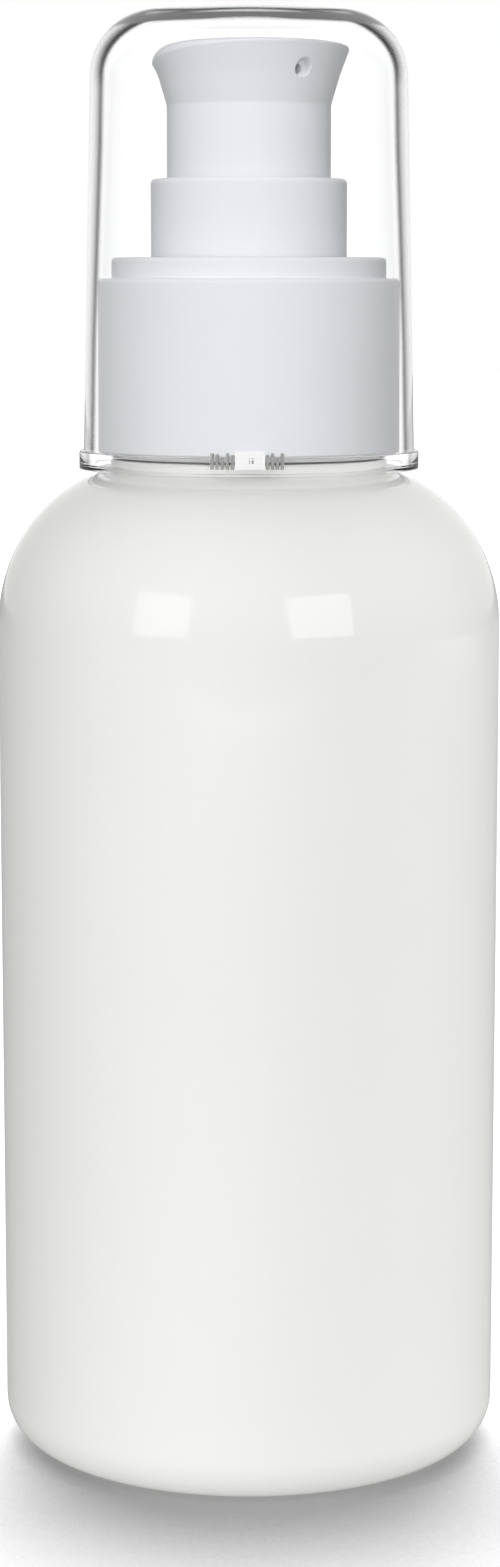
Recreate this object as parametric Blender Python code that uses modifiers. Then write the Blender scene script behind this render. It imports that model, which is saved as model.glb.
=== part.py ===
"""Lotion pump bottle: a blown bottle, a finger pump on its threaded neck and a clear overcap.

Metres, +Z up. The origin is the centre of the base ring, the axis of every turned piece is Z,
and the nozzle points along -Y.
"""

import math

import bmesh
import bpy
from mathutils import Matrix

# General
CLEARANCE = 0.0003
OVERRUN = 0.001
SHELL_STEPS = 48
INNER_STEPS = 24
WELD_DISTANCE = 0.00001

# Bottle
BOTTLE_RADIUS = 0.0235
BOTTLE_WALL = 0.0009
BODY_HEIGHT = 0.0937
SHOULDER_RISE = 0.0150
SHOULDER_RUN = 0.0140
HEEL_RADIUS = 0.0043
BASE_DISH_RADIUS = 0.0155
BASE_DISH_DEPTH = 0.0020
FINISH_RADIUS = 0.01075
FINISH_BORE_RADIUS = 0.0090
FINISH_HEIGHT = 0.01525
LIP_CHAMFER = 0.0003
BEAD_RADIUS = 0.0129
BEAD_TOP_ABOVE_BODY = 0.0010
BEAD_CHAMFER = 0.0003
DISH_STEPS = 4
HEEL_STEPS = 5
SHOULDER_STEPS = 8
INNER_SHOULDER_END_DEG = 75

# Threads
THREAD_PITCH = 0.003175
BOTTLE_THREAD_TURNS = 1.5
BOTTLE_THREAD_RADIUS = 0.00085
BOTTLE_THREAD_CENTRE_OUT = 0.00035
BOTTLE_THREAD_START = 0.0088
CLOSURE_THREAD_TURNS = 1.0
CLOSURE_THREAD_RADIUS = 0.00075
CLOSURE_THREAD_CENTRE_IN = 0.00025
THREAD_POINTS_PER_TURN = 30
THREAD_TAPER_POINTS = 4

# Closure
CLOSURE_RADIUS = 0.0140
CLOSURE_TAPER = 0.00004
CLOSURE_BORE_RADIUS = 0.01235
CLOSURE_HEM_ABOVE_BEAD = 0.00035
CLOSURE_SKIRT_HEIGHT = 0.0157
CLOSURE_STEP_RADIUS = 0.0127
CLOSURE_EDGE_CHAMFER = 0.0003
CLOSURE_DECK_THICKNESS = 0.0010
CLOSURE_SHOULDER_THICKNESS = 0.0010

# Pump body
GASKET_THICKNESS = 0.0008
FLANGE_RADIUS = 0.0113
FLANGE_THICKNESS = 0.0010
CUP_RADIUS = 0.0086
CUP_BORE_RADIUS = 0.0076
CUP_DEPTH = 0.0072
CUP_FLOOR_THICKNESS = 0.0010
CYLINDER_RADIUS = 0.0063
CYLINDER_BORE_RADIUS = 0.0053
CYLINDER_DEPTH = 0.0242
CYLINDER_FLOOR_THICKNESS = 0.0010
CYLINDER_FLOOR_CONE = 0.0016
BALL_CHAMBER_RADIUS = 0.0026
BALL_CHAMBER_DEPTH = 0.0048
SEAT_BORE_RADIUS = 0.0015
SEAT_THICKNESS = 0.0012
TUBE_SOCKET_RADIUS = 0.0034
TUBE_SOCKET_DEPTH = 0.0100

# Guide collar
COLLAR_RADIUS = 0.00905
COLLAR_BORE_RADIUS = 0.00785
COLLAR_HEIGHT = 0.00812
COLLAR_EDGE_CHAMFER = 0.0004
COLLAR_PLUG_WALL = 0.00105
COLLAR_FLOOR_THICKNESS = 0.0015
STEM_GUIDE_WALL = 0.0010

# Stem, plunger rod and piston
STEM_RADIUS = 0.0030
STEM_BORE_RADIUS = 0.0017
STEM_LENGTH = 0.0228
ROD_PIN_CLEARANCE = 0.00035
ROD_PIN_LENGTH = 0.0043
ROD_SHOULDER_RADIUS = 0.0024
VALVE_FLANGE_RADIUS = 0.0042
VALVE_FLANGE_THICKNESS = 0.0012
ROD_SPIGOT_LENGTH = 0.0028
PISTON_CLEARANCE = 0.0002
PISTON_HEIGHT = 0.0062
PISTON_LIP_HEIGHT = 0.0011
PISTON_LIP_CHAMFER = 0.0005
PISTON_WAIST_RADIUS = 0.0042
PISTON_LOST_MOTION = 0.0012

# Spring, ball and ball cage
SPRING_WIRE_RADIUS = 0.0003
SPRING_MEAN_RADIUS = 0.0032
SPRING_TURNS = 8
SPRING_POINTS_PER_TURN = 12
BALL_RADIUS = 0.0020
CAGE_THICKNESS = 0.0015
CAGE_BOSS_HEIGHT = 0.0018
CAGE_BOSS_RADIUS = 0.0025
CAGE_BORE_RADIUS = 0.0016
CAGE_SLOT_COUNT = 3
CAGE_SLOT_REACH = 0.0023
CAGE_SLOT_WIDTH = 0.0008

# Dip tube
DIP_TUBE_RADIUS = 0.0021
DIP_TUBE_WALL = 0.0006
DIP_TUBE_FOOT_HEIGHT = 0.0045
DIP_TUBE_CUT_DEG = 30

# Actuator head
HEAD_NECK_RADIUS = 0.00755
HEAD_WALL = 0.0010
HEAD_HEIGHT = 0.0131
HEAD_ENGAGEMENT = 0.00087
HEAD_FLARE_START = 0.0056
HEAD_WAIST_DROP = 0.0030
HEAD_WAIST_RADIUS = 0.00832
HEAD_RIM_FRONT_RADIUS = 0.00925
HEAD_RIM_BACK_RADIUS = 0.00870
HEAD_RIM_FRONT_DROP = 0.0003
HEAD_RIM_BACK_DROP = 0.0026
HEAD_EDGE_FRONT_RUN = 0.0007
HEAD_EDGE_BACK_RUN = 0.0033
HEAD_DISH_DEPTH = 0.0006
RIM_BLEND_POWER = 1.5
HEAD_EDGE_STEPS = 4
HEAD_DISH_STEPS = 3
HEAD_BOSS_WALL = 0.0010
HEAD_BOSS_RECESS = 0.0006
HEAD_CAVITY_TOP_DROP = 0.0020
HEAD_CHANNEL_RADIUS = 0.0012
NOZZLE_DROP = 0.0026
NOZZLE_BORE_RADIUS = 0.0008
NOZZLE_RECESS_RADIUS = 0.0011
NOZZLE_RECESS_DEPTH = 0.0010
NOZZLE_DUCT_WALL = 0.0009
NOZZLE_STEPS = 16

# Overcap
OVERCAP_CLEARANCE = 0.00035
OVERCAP_GRIP_CLEARANCE = 0.0002
OVERCAP_HEM_WALL = 0.00105
OVERCAP_WALL = 0.0011
OVERCAP_TAPER = 0.0008
OVERCAP_HEIGHT = 0.04245
OVERCAP_HEM_BELOW_CLOSURE = 0.00175
OVERCAP_FLANGE_OUT = 0.0004
OVERCAP_FLANGE_HEIGHT = 0.0017
OVERCAP_EDGE_RADIUS = 0.0060
OVERCAP_DOME_START_DEG = 79
OVERCAP_CEILING_START_DEG = 76
DOME_MIDDLE_SHARES = (0.4, 0.75)
OVERCAP_TOP_WALL = 0.0009
OVERCAP_EDGE_STEPS = 5
NOTCH_WIDTH = 0.0020
NOTCH_HEIGHT = 0.0009
NOTCH_SPACING = 0.0047
NOTCH_DIRECTION_DEG = -125

# Heights that several pieces share
BEAD_TOP_Z = BODY_HEIGHT + BEAD_TOP_ABOVE_BODY
FINISH_TOP_Z = BODY_HEIGHT + FINISH_HEIGHT
GASKET_BOTTOM_Z = FINISH_TOP_Z + CLEARANCE
FLANGE_BOTTOM_Z = GASKET_BOTTOM_Z + GASKET_THICKNESS + CLEARANCE
FLANGE_TOP_Z = FLANGE_BOTTOM_Z + FLANGE_THICKNESS
DECK_BOTTOM_Z = FLANGE_TOP_Z + CLEARANCE
DECK_TOP_Z = DECK_BOTTOM_Z + CLOSURE_DECK_THICKNESS
CLOSURE_HEM_Z = BEAD_TOP_Z + CLOSURE_HEM_ABOVE_BEAD
CLOSURE_SHOULDER_Z = CLOSURE_HEM_Z + CLOSURE_SKIRT_HEIGHT
CUP_FLOOR_Z = FLANGE_TOP_Z - CUP_DEPTH
CYLINDER_FLOOR_Z = CUP_FLOOR_Z - CYLINDER_DEPTH
SEAT_TOP_Z = CYLINDER_FLOOR_Z - BALL_CHAMBER_DEPTH
SOCKET_TOP_Z = SEAT_TOP_Z - SEAT_THICKNESS
CAGE_BOTTOM_Z = CYLINDER_FLOOR_Z + CLEARANCE
CAGE_TOP_Z = CAGE_BOTTOM_Z + CAGE_THICKNESS
COLLAR_BOTTOM_Z = FLANGE_TOP_Z + CLEARANCE
COLLAR_TOP_Z = COLLAR_BOTTOM_Z + COLLAR_HEIGHT
PISTON_TOP_Z = CUP_FLOOR_Z - PISTON_LOST_MOTION
PISTON_BOTTOM_Z = PISTON_TOP_Z - PISTON_HEIGHT
VALVE_FLANGE_TOP_Z = PISTON_BOTTOM_Z - CLEARANCE
VALVE_FLANGE_BOTTOM_Z = VALVE_FLANGE_TOP_Z - VALVE_FLANGE_THICKNESS
STEM_BOTTOM_Z = PISTON_TOP_Z + PISTON_LOST_MOTION
STEM_TOP_Z = STEM_BOTTOM_Z + STEM_LENGTH
HEAD_BOTTOM_Z = COLLAR_TOP_Z - HEAD_ENGAGEMENT
HEAD_TOP_Z = HEAD_BOTTOM_Z + HEAD_HEIGHT
NOZZLE_Z = HEAD_TOP_Z - NOZZLE_DROP
OVERCAP_HEM_Z = CLOSURE_HEM_Z - OVERCAP_HEM_BELOW_CLOSURE
OVERCAP_TOP_Z = OVERCAP_HEM_Z + OVERCAP_HEIGHT


def clear_scene():
    """Remove every object, so that the model starts from an empty scene."""
    for old_object in list(bpy.data.objects):
        bpy.data.objects.remove(old_object)


def new_collection(name):
    """A collection of its own under the scene."""
    collection = bpy.data.collections.new(name)
    bpy.context.scene.collection.children.link(collection)
    return collection


def plastic(name, colour, roughness, metallic=0.0, transmission=0.0):
    """A Principled material with a colour, a roughness and a metallic value."""
    material = bpy.data.materials.new(name)
    material.use_nodes = True
    shader = material.node_tree.nodes["Principled BSDF"]
    shader.inputs["Base Color"].default_value = (*colour, 1.0)
    shader.inputs["Roughness"].default_value = roughness
    shader.inputs["Metallic"].default_value = metallic
    shader.inputs["Transmission Weight"].default_value = transmission
    return material


def add_mesh_object(name, mesh, material=None):
    """A part with a material, or a cutter where there is none."""
    new_object = bpy.data.objects.new(name, mesh)
    if material is None:
        CUTTERS.objects.link(new_object)
        new_object.hide_render = True
        new_object.display_type = "WIRE"
    else:
        PARTS.objects.link(new_object)
        mesh.materials.append(material)
    return new_object


def arc(centre, radii, start_deg, end_deg, steps):
    """Points (r, z) of an elliptic arc, both ends included; zero degrees points outwards."""
    points = []
    for step in range(steps + 1):
        angle = math.radians(start_deg + (end_deg - start_deg) * step / steps)
        points.append((centre[0] + radii[0] * math.cos(angle), centre[1] + radii[1] * math.sin(angle)))
    return points


def turned(name, profile, material=None, steps=INNER_STEPS):
    """A turned piece from an (r, z) outline that runs down its outer side, top to bottom."""
    mesh = bpy.data.meshes.new(name)
    on_axis = profile[0][0] == 0 and profile[-1][0] == 0
    edge_count = len(profile) - 1 if on_axis else len(profile)
    edges = [(index, (index + 1) % len(profile)) for index in range(edge_count)]
    mesh.from_pydata([(r, 0, z) for r, z in profile], edges, [])
    piece = add_mesh_object(name, mesh, material)
    screw = piece.modifiers.new("turn", "SCREW")
    screw.steps = steps
    screw.render_steps = steps
    screw.use_merge_vertices = True
    screw.merge_threshold = WELD_DISTANCE
    screw.use_smooth_shade = True
    return piece


def tube(name, points, radius, radii=None, resolution=1, material=None):
    """A closed tube along points, made as a curve with filled caps and turned into a mesh."""
    curve = bpy.data.curves.new(name, "CURVE")
    curve.dimensions = "3D"
    curve.bevel_depth = radius
    curve.bevel_resolution = resolution
    curve.use_fill_caps = True
    spline = curve.splines.new("POLY")
    spline.points.add(len(points) - 1)
    for index, point in enumerate(points):
        spline.points[index].co = (*point, 1)
        spline.points[index].radius = radii[index] if radii else 1
    path = bpy.data.objects.new(name + "_path", curve)
    CUTTERS.objects.link(path)
    bpy.context.view_layer.update()
    evaluated = path.evaluated_get(bpy.context.evaluated_depsgraph_get())
    mesh = bpy.data.meshes.new_from_object(evaluated)
    shape = bmesh.new()
    shape.from_mesh(mesh)
    bmesh.ops.remove_doubles(shape, verts=shape.verts, dist=WELD_DISTANCE)
    bmesh.ops.recalc_face_normals(shape, faces=shape.faces)
    shape.to_mesh(mesh)
    shape.free()
    mesh.name = name
    piece = add_mesh_object(name, mesh, material)
    piece.matrix_world = path.matrix_world
    bpy.data.objects.remove(path)
    return piece


def cylinder(name, radius, start_y, end_y, z, steps=NOZZLE_STEPS):
    """A cutter or tool that lies along Y from start_y to end_y at a height."""
    mesh = bpy.data.meshes.new(name)
    shape = bmesh.new()
    middle = Matrix.Translation((0, (start_y + end_y) / 2, z))
    place = middle @ Matrix.Rotation(math.radians(90), 4, "X")
    length = abs(end_y - start_y)
    bmesh.ops.create_cone(shape, cap_ends=True, segments=steps, radius1=radius, radius2=radius,
                          depth=length, matrix=place)
    shape.to_mesh(mesh)
    shape.free()
    return add_mesh_object(name, mesh)


def box(name, size, place):
    """A box cutter of a given size at a placing matrix."""
    mesh = bpy.data.meshes.new(name)
    shape = bmesh.new()
    bmesh.ops.create_cube(shape, size=1, matrix=place @ Matrix.Diagonal((*size, 1)))
    shape.to_mesh(mesh)
    shape.free()
    return add_mesh_object(name, mesh)


def boolean(piece, tool, operation="DIFFERENCE"):
    """Cut a tool out of a piece, or join it on."""
    modifier = piece.modifiers.new(operation.lower(), "BOOLEAN")
    modifier.operation = operation
    modifier.object = tool
    modifier.solver = "EXACT"


def thread_ridge(name, wall_radius, centre_offset, ridge_radius, start_z, turns):
    """A right-hand helical ridge on a wall, whose ends taper into the wall."""
    count = round(turns * THREAD_POINTS_PER_TURN)
    points = []
    taper_shares = []
    for index in range(count + 1):
        angle = math.tau * index / THREAD_POINTS_PER_TURN
        height = start_z + THREAD_PITCH * index / THREAD_POINTS_PER_TURN
        from_end = min(index, count - index)
        taper_share = min(1, (from_end + 1) / (THREAD_TAPER_POINTS + 1))
        centre_radius = wall_radius + centre_offset * taper_share
        points.append((centre_radius * math.cos(angle), centre_radius * math.sin(angle), height))
        taper_shares.append(taper_share)
    return tube(name, points, ridge_radius, taper_shares)


def make_bottle():
    """One blown body: dished base, heel, wall, shoulder, bead, threaded neck and bore."""
    shoulder_centre = (BOTTLE_RADIUS - SHOULDER_RUN, BODY_HEIGHT - SHOULDER_RISE)
    heel_centre = (BOTTLE_RADIUS - HEEL_RADIUS, HEEL_RADIUS)
    inner_heel = HEEL_RADIUS - BOTTLE_WALL
    inner_run = SHOULDER_RUN - BOTTLE_WALL
    inner_rise = SHOULDER_RISE - BOTTLE_WALL
    bead_deg = math.degrees(math.acos((BEAD_RADIUS - shoulder_centre[0]) / SHOULDER_RUN))
    dish = (BASE_DISH_RADIUS, BASE_DISH_DEPTH)
    inside = arc((0, BOTTLE_WALL), dish, 90, 0, DISH_STEPS)
    inside[0] = (0, BOTTLE_WALL + BASE_DISH_DEPTH)
    inside += arc(heel_centre, (inner_heel, inner_heel), -90, 0, HEEL_STEPS)
    inside += arc(shoulder_centre, (inner_run, inner_rise), 0, INNER_SHOULDER_END_DEG, SHOULDER_STEPS)
    inside.append((FINISH_BORE_RADIUS, BODY_HEIGHT - BOTTLE_WALL))
    inside.append((FINISH_BORE_RADIUS, FINISH_TOP_Z))
    outside = [
        (FINISH_RADIUS - LIP_CHAMFER, FINISH_TOP_Z),
        (FINISH_RADIUS, FINISH_TOP_Z - LIP_CHAMFER),
        (FINISH_RADIUS, BEAD_TOP_Z),
        (BEAD_RADIUS - BEAD_CHAMFER, BEAD_TOP_Z),
        (BEAD_RADIUS, BEAD_TOP_Z - BEAD_CHAMFER),
    ]
    outside += arc(shoulder_centre, (SHOULDER_RUN, SHOULDER_RISE), bead_deg, 0, SHOULDER_STEPS)
    outside += arc(heel_centre, (HEEL_RADIUS, HEEL_RADIUS), 0, -90, HEEL_STEPS)
    outside += arc((0, 0), dish, 0, 90, DISH_STEPS)
    outside[-1] = (0, BASE_DISH_DEPTH)
    gloss = plastic("bottle_gloss_white", (0.86, 0.86, 0.84), 0.25)
    bottle = turned("bottle", inside + outside, gloss, SHELL_STEPS)
    ridge = thread_ridge("bottle_thread", FINISH_RADIUS, BOTTLE_THREAD_CENTRE_OUT, BOTTLE_THREAD_RADIUS,
                         BODY_HEIGHT + BOTTLE_THREAD_START, BOTTLE_THREAD_TURNS)
    boolean(bottle, ridge, "UNION")


def make_closure():
    """The threaded ring with a stepped top whose deck holds the pump flange down."""
    top_radius = CLOSURE_RADIUS - CLOSURE_TAPER
    pocket_radius = FLANGE_RADIUS + CLEARANCE
    pocket_bottom = CLOSURE_SHOULDER_Z - CLOSURE_SHOULDER_THICKNESS
    profile = [
        (CLOSURE_STEP_RADIUS - CLOSURE_EDGE_CHAMFER, DECK_TOP_Z),
        (CLOSURE_STEP_RADIUS, DECK_TOP_Z - CLOSURE_EDGE_CHAMFER),
        (CLOSURE_STEP_RADIUS, CLOSURE_SHOULDER_Z),
        (top_radius - CLOSURE_EDGE_CHAMFER, CLOSURE_SHOULDER_Z),
        (top_radius, CLOSURE_SHOULDER_Z - CLOSURE_EDGE_CHAMFER),
        (CLOSURE_RADIUS, CLOSURE_HEM_Z),
        (CLOSURE_BORE_RADIUS, CLOSURE_HEM_Z),
        (CLOSURE_BORE_RADIUS, pocket_bottom),
        (pocket_radius, pocket_bottom),
        (pocket_radius, DECK_BOTTOM_Z),
        (COLLAR_RADIUS + CLEARANCE, DECK_BOTTOM_Z),
        (COLLAR_RADIUS + CLEARANCE, DECK_TOP_Z),
    ]
    closure = turned("closure", profile, plastic("closure_satin_white", (0.80, 0.80, 0.82), 0.4),
                     SHELL_STEPS)
    start_z = BODY_HEIGHT + BOTTLE_THREAD_START - THREAD_PITCH / 2
    ridge = thread_ridge("closure_thread", CLOSURE_BORE_RADIUS, -CLOSURE_THREAD_CENTRE_IN,
                         CLOSURE_THREAD_RADIUS, start_z, CLOSURE_THREAD_TURNS)
    boolean(closure, ridge, "UNION")


def make_gasket():
    """The soft ring between the bottle lip and the pump flange."""
    top = GASKET_BOTTOM_Z + GASKET_THICKNESS
    inner = CUP_RADIUS + CLEARANCE
    profile = [(FLANGE_RADIUS, top), (FLANGE_RADIUS, GASKET_BOTTOM_Z), (inner, GASKET_BOTTOM_Z),
               (inner, top)]
    turned("gasket", profile, plastic("gasket_foam", (0.85, 0.85, 0.82), 0.8), SHELL_STEPS)


def make_housing():
    """The pump body: flange, cup, cylinder, ball chamber with its seat, and dip tube socket."""
    chamber_cone_z = SEAT_TOP_Z + BALL_CHAMBER_RADIUS - SEAT_BORE_RADIUS
    floor_bottom = CYLINDER_FLOOR_Z - CYLINDER_FLOOR_THICKNESS
    socket_bottom = SOCKET_TOP_Z - TUBE_SOCKET_DEPTH
    socket_bore = DIP_TUBE_RADIUS + CLEARANCE
    profile = [
        (FLANGE_RADIUS, FLANGE_TOP_Z),
        (FLANGE_RADIUS, FLANGE_BOTTOM_Z),
        (CUP_RADIUS, FLANGE_BOTTOM_Z),
        (CUP_RADIUS, CUP_FLOOR_Z - CUP_FLOOR_THICKNESS),
        (CYLINDER_RADIUS, CUP_FLOOR_Z - CUP_FLOOR_THICKNESS),
        (CYLINDER_RADIUS, floor_bottom),
        (TUBE_SOCKET_RADIUS, floor_bottom - CYLINDER_FLOOR_CONE),
        (TUBE_SOCKET_RADIUS, socket_bottom),
        (socket_bore, socket_bottom),
        (socket_bore, SOCKET_TOP_Z),
        (SEAT_BORE_RADIUS, SOCKET_TOP_Z),
        (SEAT_BORE_RADIUS, SEAT_TOP_Z),
        (BALL_CHAMBER_RADIUS, chamber_cone_z),
        (BALL_CHAMBER_RADIUS, CYLINDER_FLOOR_Z),
        (CYLINDER_BORE_RADIUS, CYLINDER_FLOOR_Z),
        (CYLINDER_BORE_RADIUS, CUP_FLOOR_Z),
        (CUP_BORE_RADIUS, CUP_FLOOR_Z),
        (CUP_BORE_RADIUS, FLANGE_TOP_Z),
    ]
    turned("housing", profile, plastic("housing_natural_white", (0.82, 0.83, 0.83), 0.45))


def make_guide_collar():
    """The collar that plugs into the cup, guides stem and head, and stops the piston."""
    plug_radius = CUP_BORE_RADIUS - CLEARANCE
    plug_bottom = CUP_FLOOR_Z + CLEARANCE
    floor_top = COLLAR_BOTTOM_Z + CLEARANCE
    guide_bore = STEM_RADIUS + CLEARANCE
    profile = [
        (COLLAR_RADIUS - COLLAR_EDGE_CHAMFER, COLLAR_TOP_Z),
        (COLLAR_RADIUS, COLLAR_TOP_Z - COLLAR_EDGE_CHAMFER),
        (COLLAR_RADIUS, COLLAR_BOTTOM_Z),
        (plug_radius, COLLAR_BOTTOM_Z),
        (plug_radius, plug_bottom),
        (plug_radius - COLLAR_PLUG_WALL, plug_bottom),
        (plug_radius - COLLAR_PLUG_WALL, floor_top - COLLAR_FLOOR_THICKNESS),
        (guide_bore + STEM_GUIDE_WALL, floor_top - COLLAR_FLOOR_THICKNESS),
        (guide_bore + STEM_GUIDE_WALL, PISTON_TOP_Z + CLEARANCE),
        (guide_bore, PISTON_TOP_Z + CLEARANCE),
        (guide_bore, floor_top),
        (COLLAR_BORE_RADIUS, floor_top),
        (COLLAR_BORE_RADIUS, COLLAR_TOP_Z),
    ]
    turned("guide_collar", profile, plastic("collar_satin_white", (0.80, 0.80, 0.82), 0.4), SHELL_STEPS)


def make_stem():
    """The tube that joins the head to the plunger rod."""
    profile = [(STEM_RADIUS, STEM_TOP_Z), (STEM_RADIUS, STEM_BOTTOM_Z), (STEM_BORE_RADIUS, STEM_BOTTOM_Z),
               (STEM_BORE_RADIUS, STEM_TOP_Z)]
    turned("stem", profile, plastic("stem_natural_white", (0.82, 0.83, 0.83), 0.4))


def make_plunger_rod():
    """The rod under the stem: pin, shoulder, valve flange and spring spigot."""
    pin_radius = STEM_BORE_RADIUS - ROD_PIN_CLEARANCE
    shoulder_top = STEM_BOTTOM_Z - CLEARANCE
    spigot_bottom = VALVE_FLANGE_BOTTOM_Z - ROD_SPIGOT_LENGTH
    profile = [
        (0, shoulder_top + ROD_PIN_LENGTH),
        (pin_radius, shoulder_top + ROD_PIN_LENGTH),
        (pin_radius, shoulder_top),
        (ROD_SHOULDER_RADIUS, shoulder_top),
        (ROD_SHOULDER_RADIUS, VALVE_FLANGE_TOP_Z),
        (VALVE_FLANGE_RADIUS, VALVE_FLANGE_TOP_Z),
        (VALVE_FLANGE_RADIUS, VALVE_FLANGE_BOTTOM_Z),
        (CAGE_BOSS_RADIUS, VALVE_FLANGE_BOTTOM_Z),
        (CAGE_BOSS_RADIUS, spigot_bottom),
        (0, spigot_bottom),
    ]
    turned("plunger_rod", profile, plastic("rod_natural_white", (0.82, 0.83, 0.83), 0.4))


def make_piston():
    """The sliding seal with an upper and a lower lip."""
    lip_radius = CYLINDER_BORE_RADIUS - PISTON_CLEARANCE
    bore_radius = ROD_SHOULDER_RADIUS + CLEARANCE
    upper_lip = PISTON_TOP_Z - PISTON_LIP_HEIGHT
    lower_lip = PISTON_BOTTOM_Z + PISTON_LIP_HEIGHT
    profile = [
        (lip_radius, PISTON_TOP_Z),
        (lip_radius, upper_lip),
        (PISTON_WAIST_RADIUS, upper_lip - PISTON_LIP_CHAMFER),
        (PISTON_WAIST_RADIUS, lower_lip + PISTON_LIP_CHAMFER),
        (lip_radius, lower_lip),
        (lip_radius, PISTON_BOTTOM_Z),
        (bore_radius, PISTON_BOTTOM_Z),
        (bore_radius, PISTON_TOP_Z),
    ]
    turned("piston", profile, plastic("piston_soft_white", (0.84, 0.84, 0.82), 0.55))


def make_return_spring():
    """The coil between the ball cage and the valve flange."""
    bottom = CAGE_TOP_Z + CLEARANCE + SPRING_WIRE_RADIUS
    top = VALVE_FLANGE_BOTTOM_Z - CLEARANCE - SPRING_WIRE_RADIUS
    count = SPRING_TURNS * SPRING_POINTS_PER_TURN
    points = []
    for index in range(count + 1):
        angle = math.tau * index / SPRING_POINTS_PER_TURN
        x = SPRING_MEAN_RADIUS * math.cos(angle)
        y = SPRING_MEAN_RADIUS * math.sin(angle)
        points.append((x, y, bottom + (top - bottom) * index / count))
    least_gap = (top - bottom) / SPRING_TURNS - 2 * SPRING_WIRE_RADIUS
    print("least gap between spring turns in metres:", round(least_gap, 5))
    steel = plastic("spring_steel", (0.55, 0.55, 0.56), 0.3, metallic=1.0)
    tube("return_spring", points, SPRING_WIRE_RADIUS, material=steel)


def make_ball_cage():
    """The ring on the cylinder floor that carries the spring and keeps the ball down."""
    boss_top = CAGE_TOP_Z + CAGE_BOSS_HEIGHT
    cage_radius = CYLINDER_BORE_RADIUS - CLEARANCE
    profile = [
        (CAGE_BOSS_RADIUS, boss_top),
        (CAGE_BOSS_RADIUS, CAGE_TOP_Z),
        (cage_radius, CAGE_TOP_Z),
        (cage_radius, CAGE_BOTTOM_Z),
        (CAGE_BORE_RADIUS, CAGE_BOTTOM_Z),
        (CAGE_BORE_RADIUS, boss_top),
    ]
    cage = turned("ball_cage", profile, plastic("cage_natural_white", (0.82, 0.83, 0.83), 0.45))
    slot_bottom = CAGE_BOTTOM_Z - OVERRUN
    slot_size = (CAGE_SLOT_REACH, CAGE_SLOT_WIDTH, CAGE_THICKNESS)
    for number in range(CAGE_SLOT_COUNT):
        turn = Matrix.Rotation(math.tau * number / CAGE_SLOT_COUNT, 4, "Z")
        lift = Matrix.Translation((CAGE_SLOT_REACH / 2, 0, slot_bottom + CAGE_THICKNESS / 2))
        boolean(cage, box("cage_slot_%d" % number, slot_size, turn @ lift))


def make_inlet_ball():
    """The ball that rests on the seat at the foot of its chamber."""
    reach = BALL_RADIUS + CLEARANCE
    centre_z = SEAT_TOP_Z + math.sqrt(reach ** 2 - SEAT_BORE_RADIUS ** 2)
    mesh = bpy.data.meshes.new("inlet_ball")
    shape = bmesh.new()
    bmesh.ops.create_uvsphere(shape, u_segments=16, v_segments=10, radius=BALL_RADIUS)
    shape.to_mesh(mesh)
    shape.free()
    mesh.shade_smooth()
    ball = add_mesh_object("inlet_ball", mesh, plastic("ball_glass", (0.75, 0.80, 0.80), 0.1))
    ball.location = (0, 0, centre_z)


def make_dip_tube():
    """The suction tube, cut at a slant at its foot."""
    top = SOCKET_TOP_Z - CLEARANCE
    bore = DIP_TUBE_RADIUS - DIP_TUBE_WALL
    profile = [(DIP_TUBE_RADIUS, top), (DIP_TUBE_RADIUS, DIP_TUBE_FOOT_HEIGHT),
               (bore, DIP_TUBE_FOOT_HEIGHT), (bore, top)]
    dip_tube = turned("dip_tube", profile, plastic("tube_natural", (0.85, 0.85, 0.83), 0.5))
    slant = math.radians(DIP_TUBE_CUT_DEG)
    width = 2 * DIP_TUBE_RADIUS + 2 * OVERRUN
    length = width / math.cos(slant)
    place = (Matrix.Translation((0, 0, DIP_TUBE_FOOT_HEIGHT + DIP_TUBE_RADIUS * math.tan(slant)))
             @ Matrix.Rotation(slant, 4, "Y") @ Matrix.Translation((0, 0, -width / 2)))
    boolean(dip_tube, box("dip_tube_cut", (length, width, width), place))


def head_ring(share):
    """Outline (r, z) of the actuator head; share runs from 0 at the nozzle to 1 at the back."""
    rim_radius = HEAD_RIM_FRONT_RADIUS + (HEAD_RIM_BACK_RADIUS - HEAD_RIM_FRONT_RADIUS) * share
    rim_drop = HEAD_RIM_FRONT_DROP + (HEAD_RIM_BACK_DROP - HEAD_RIM_FRONT_DROP) * share
    edge_run = HEAD_EDGE_FRONT_RUN + (HEAD_EDGE_BACK_RUN - HEAD_EDGE_FRONT_RUN) * share
    rim_z = HEAD_TOP_Z - rim_drop
    top_radius = rim_radius - edge_run
    outline = [
        (HEAD_NECK_RADIUS, HEAD_BOTTOM_Z),
        (HEAD_NECK_RADIUS, HEAD_TOP_Z - HEAD_FLARE_START),
        (HEAD_WAIST_RADIUS, HEAD_TOP_Z - HEAD_WAIST_DROP),
    ]
    outline += arc((top_radius, rim_z), (edge_run, rim_drop), 0, 90, HEAD_EDGE_STEPS)
    for step in range(1, HEAD_DISH_STEPS):
        radius_share = 1 - step / HEAD_DISH_STEPS
        depth = HEAD_DISH_DEPTH * (1 - radius_share ** 2)
        outline.append((top_radius * radius_share, HEAD_TOP_Z - depth))
    return outline


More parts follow.
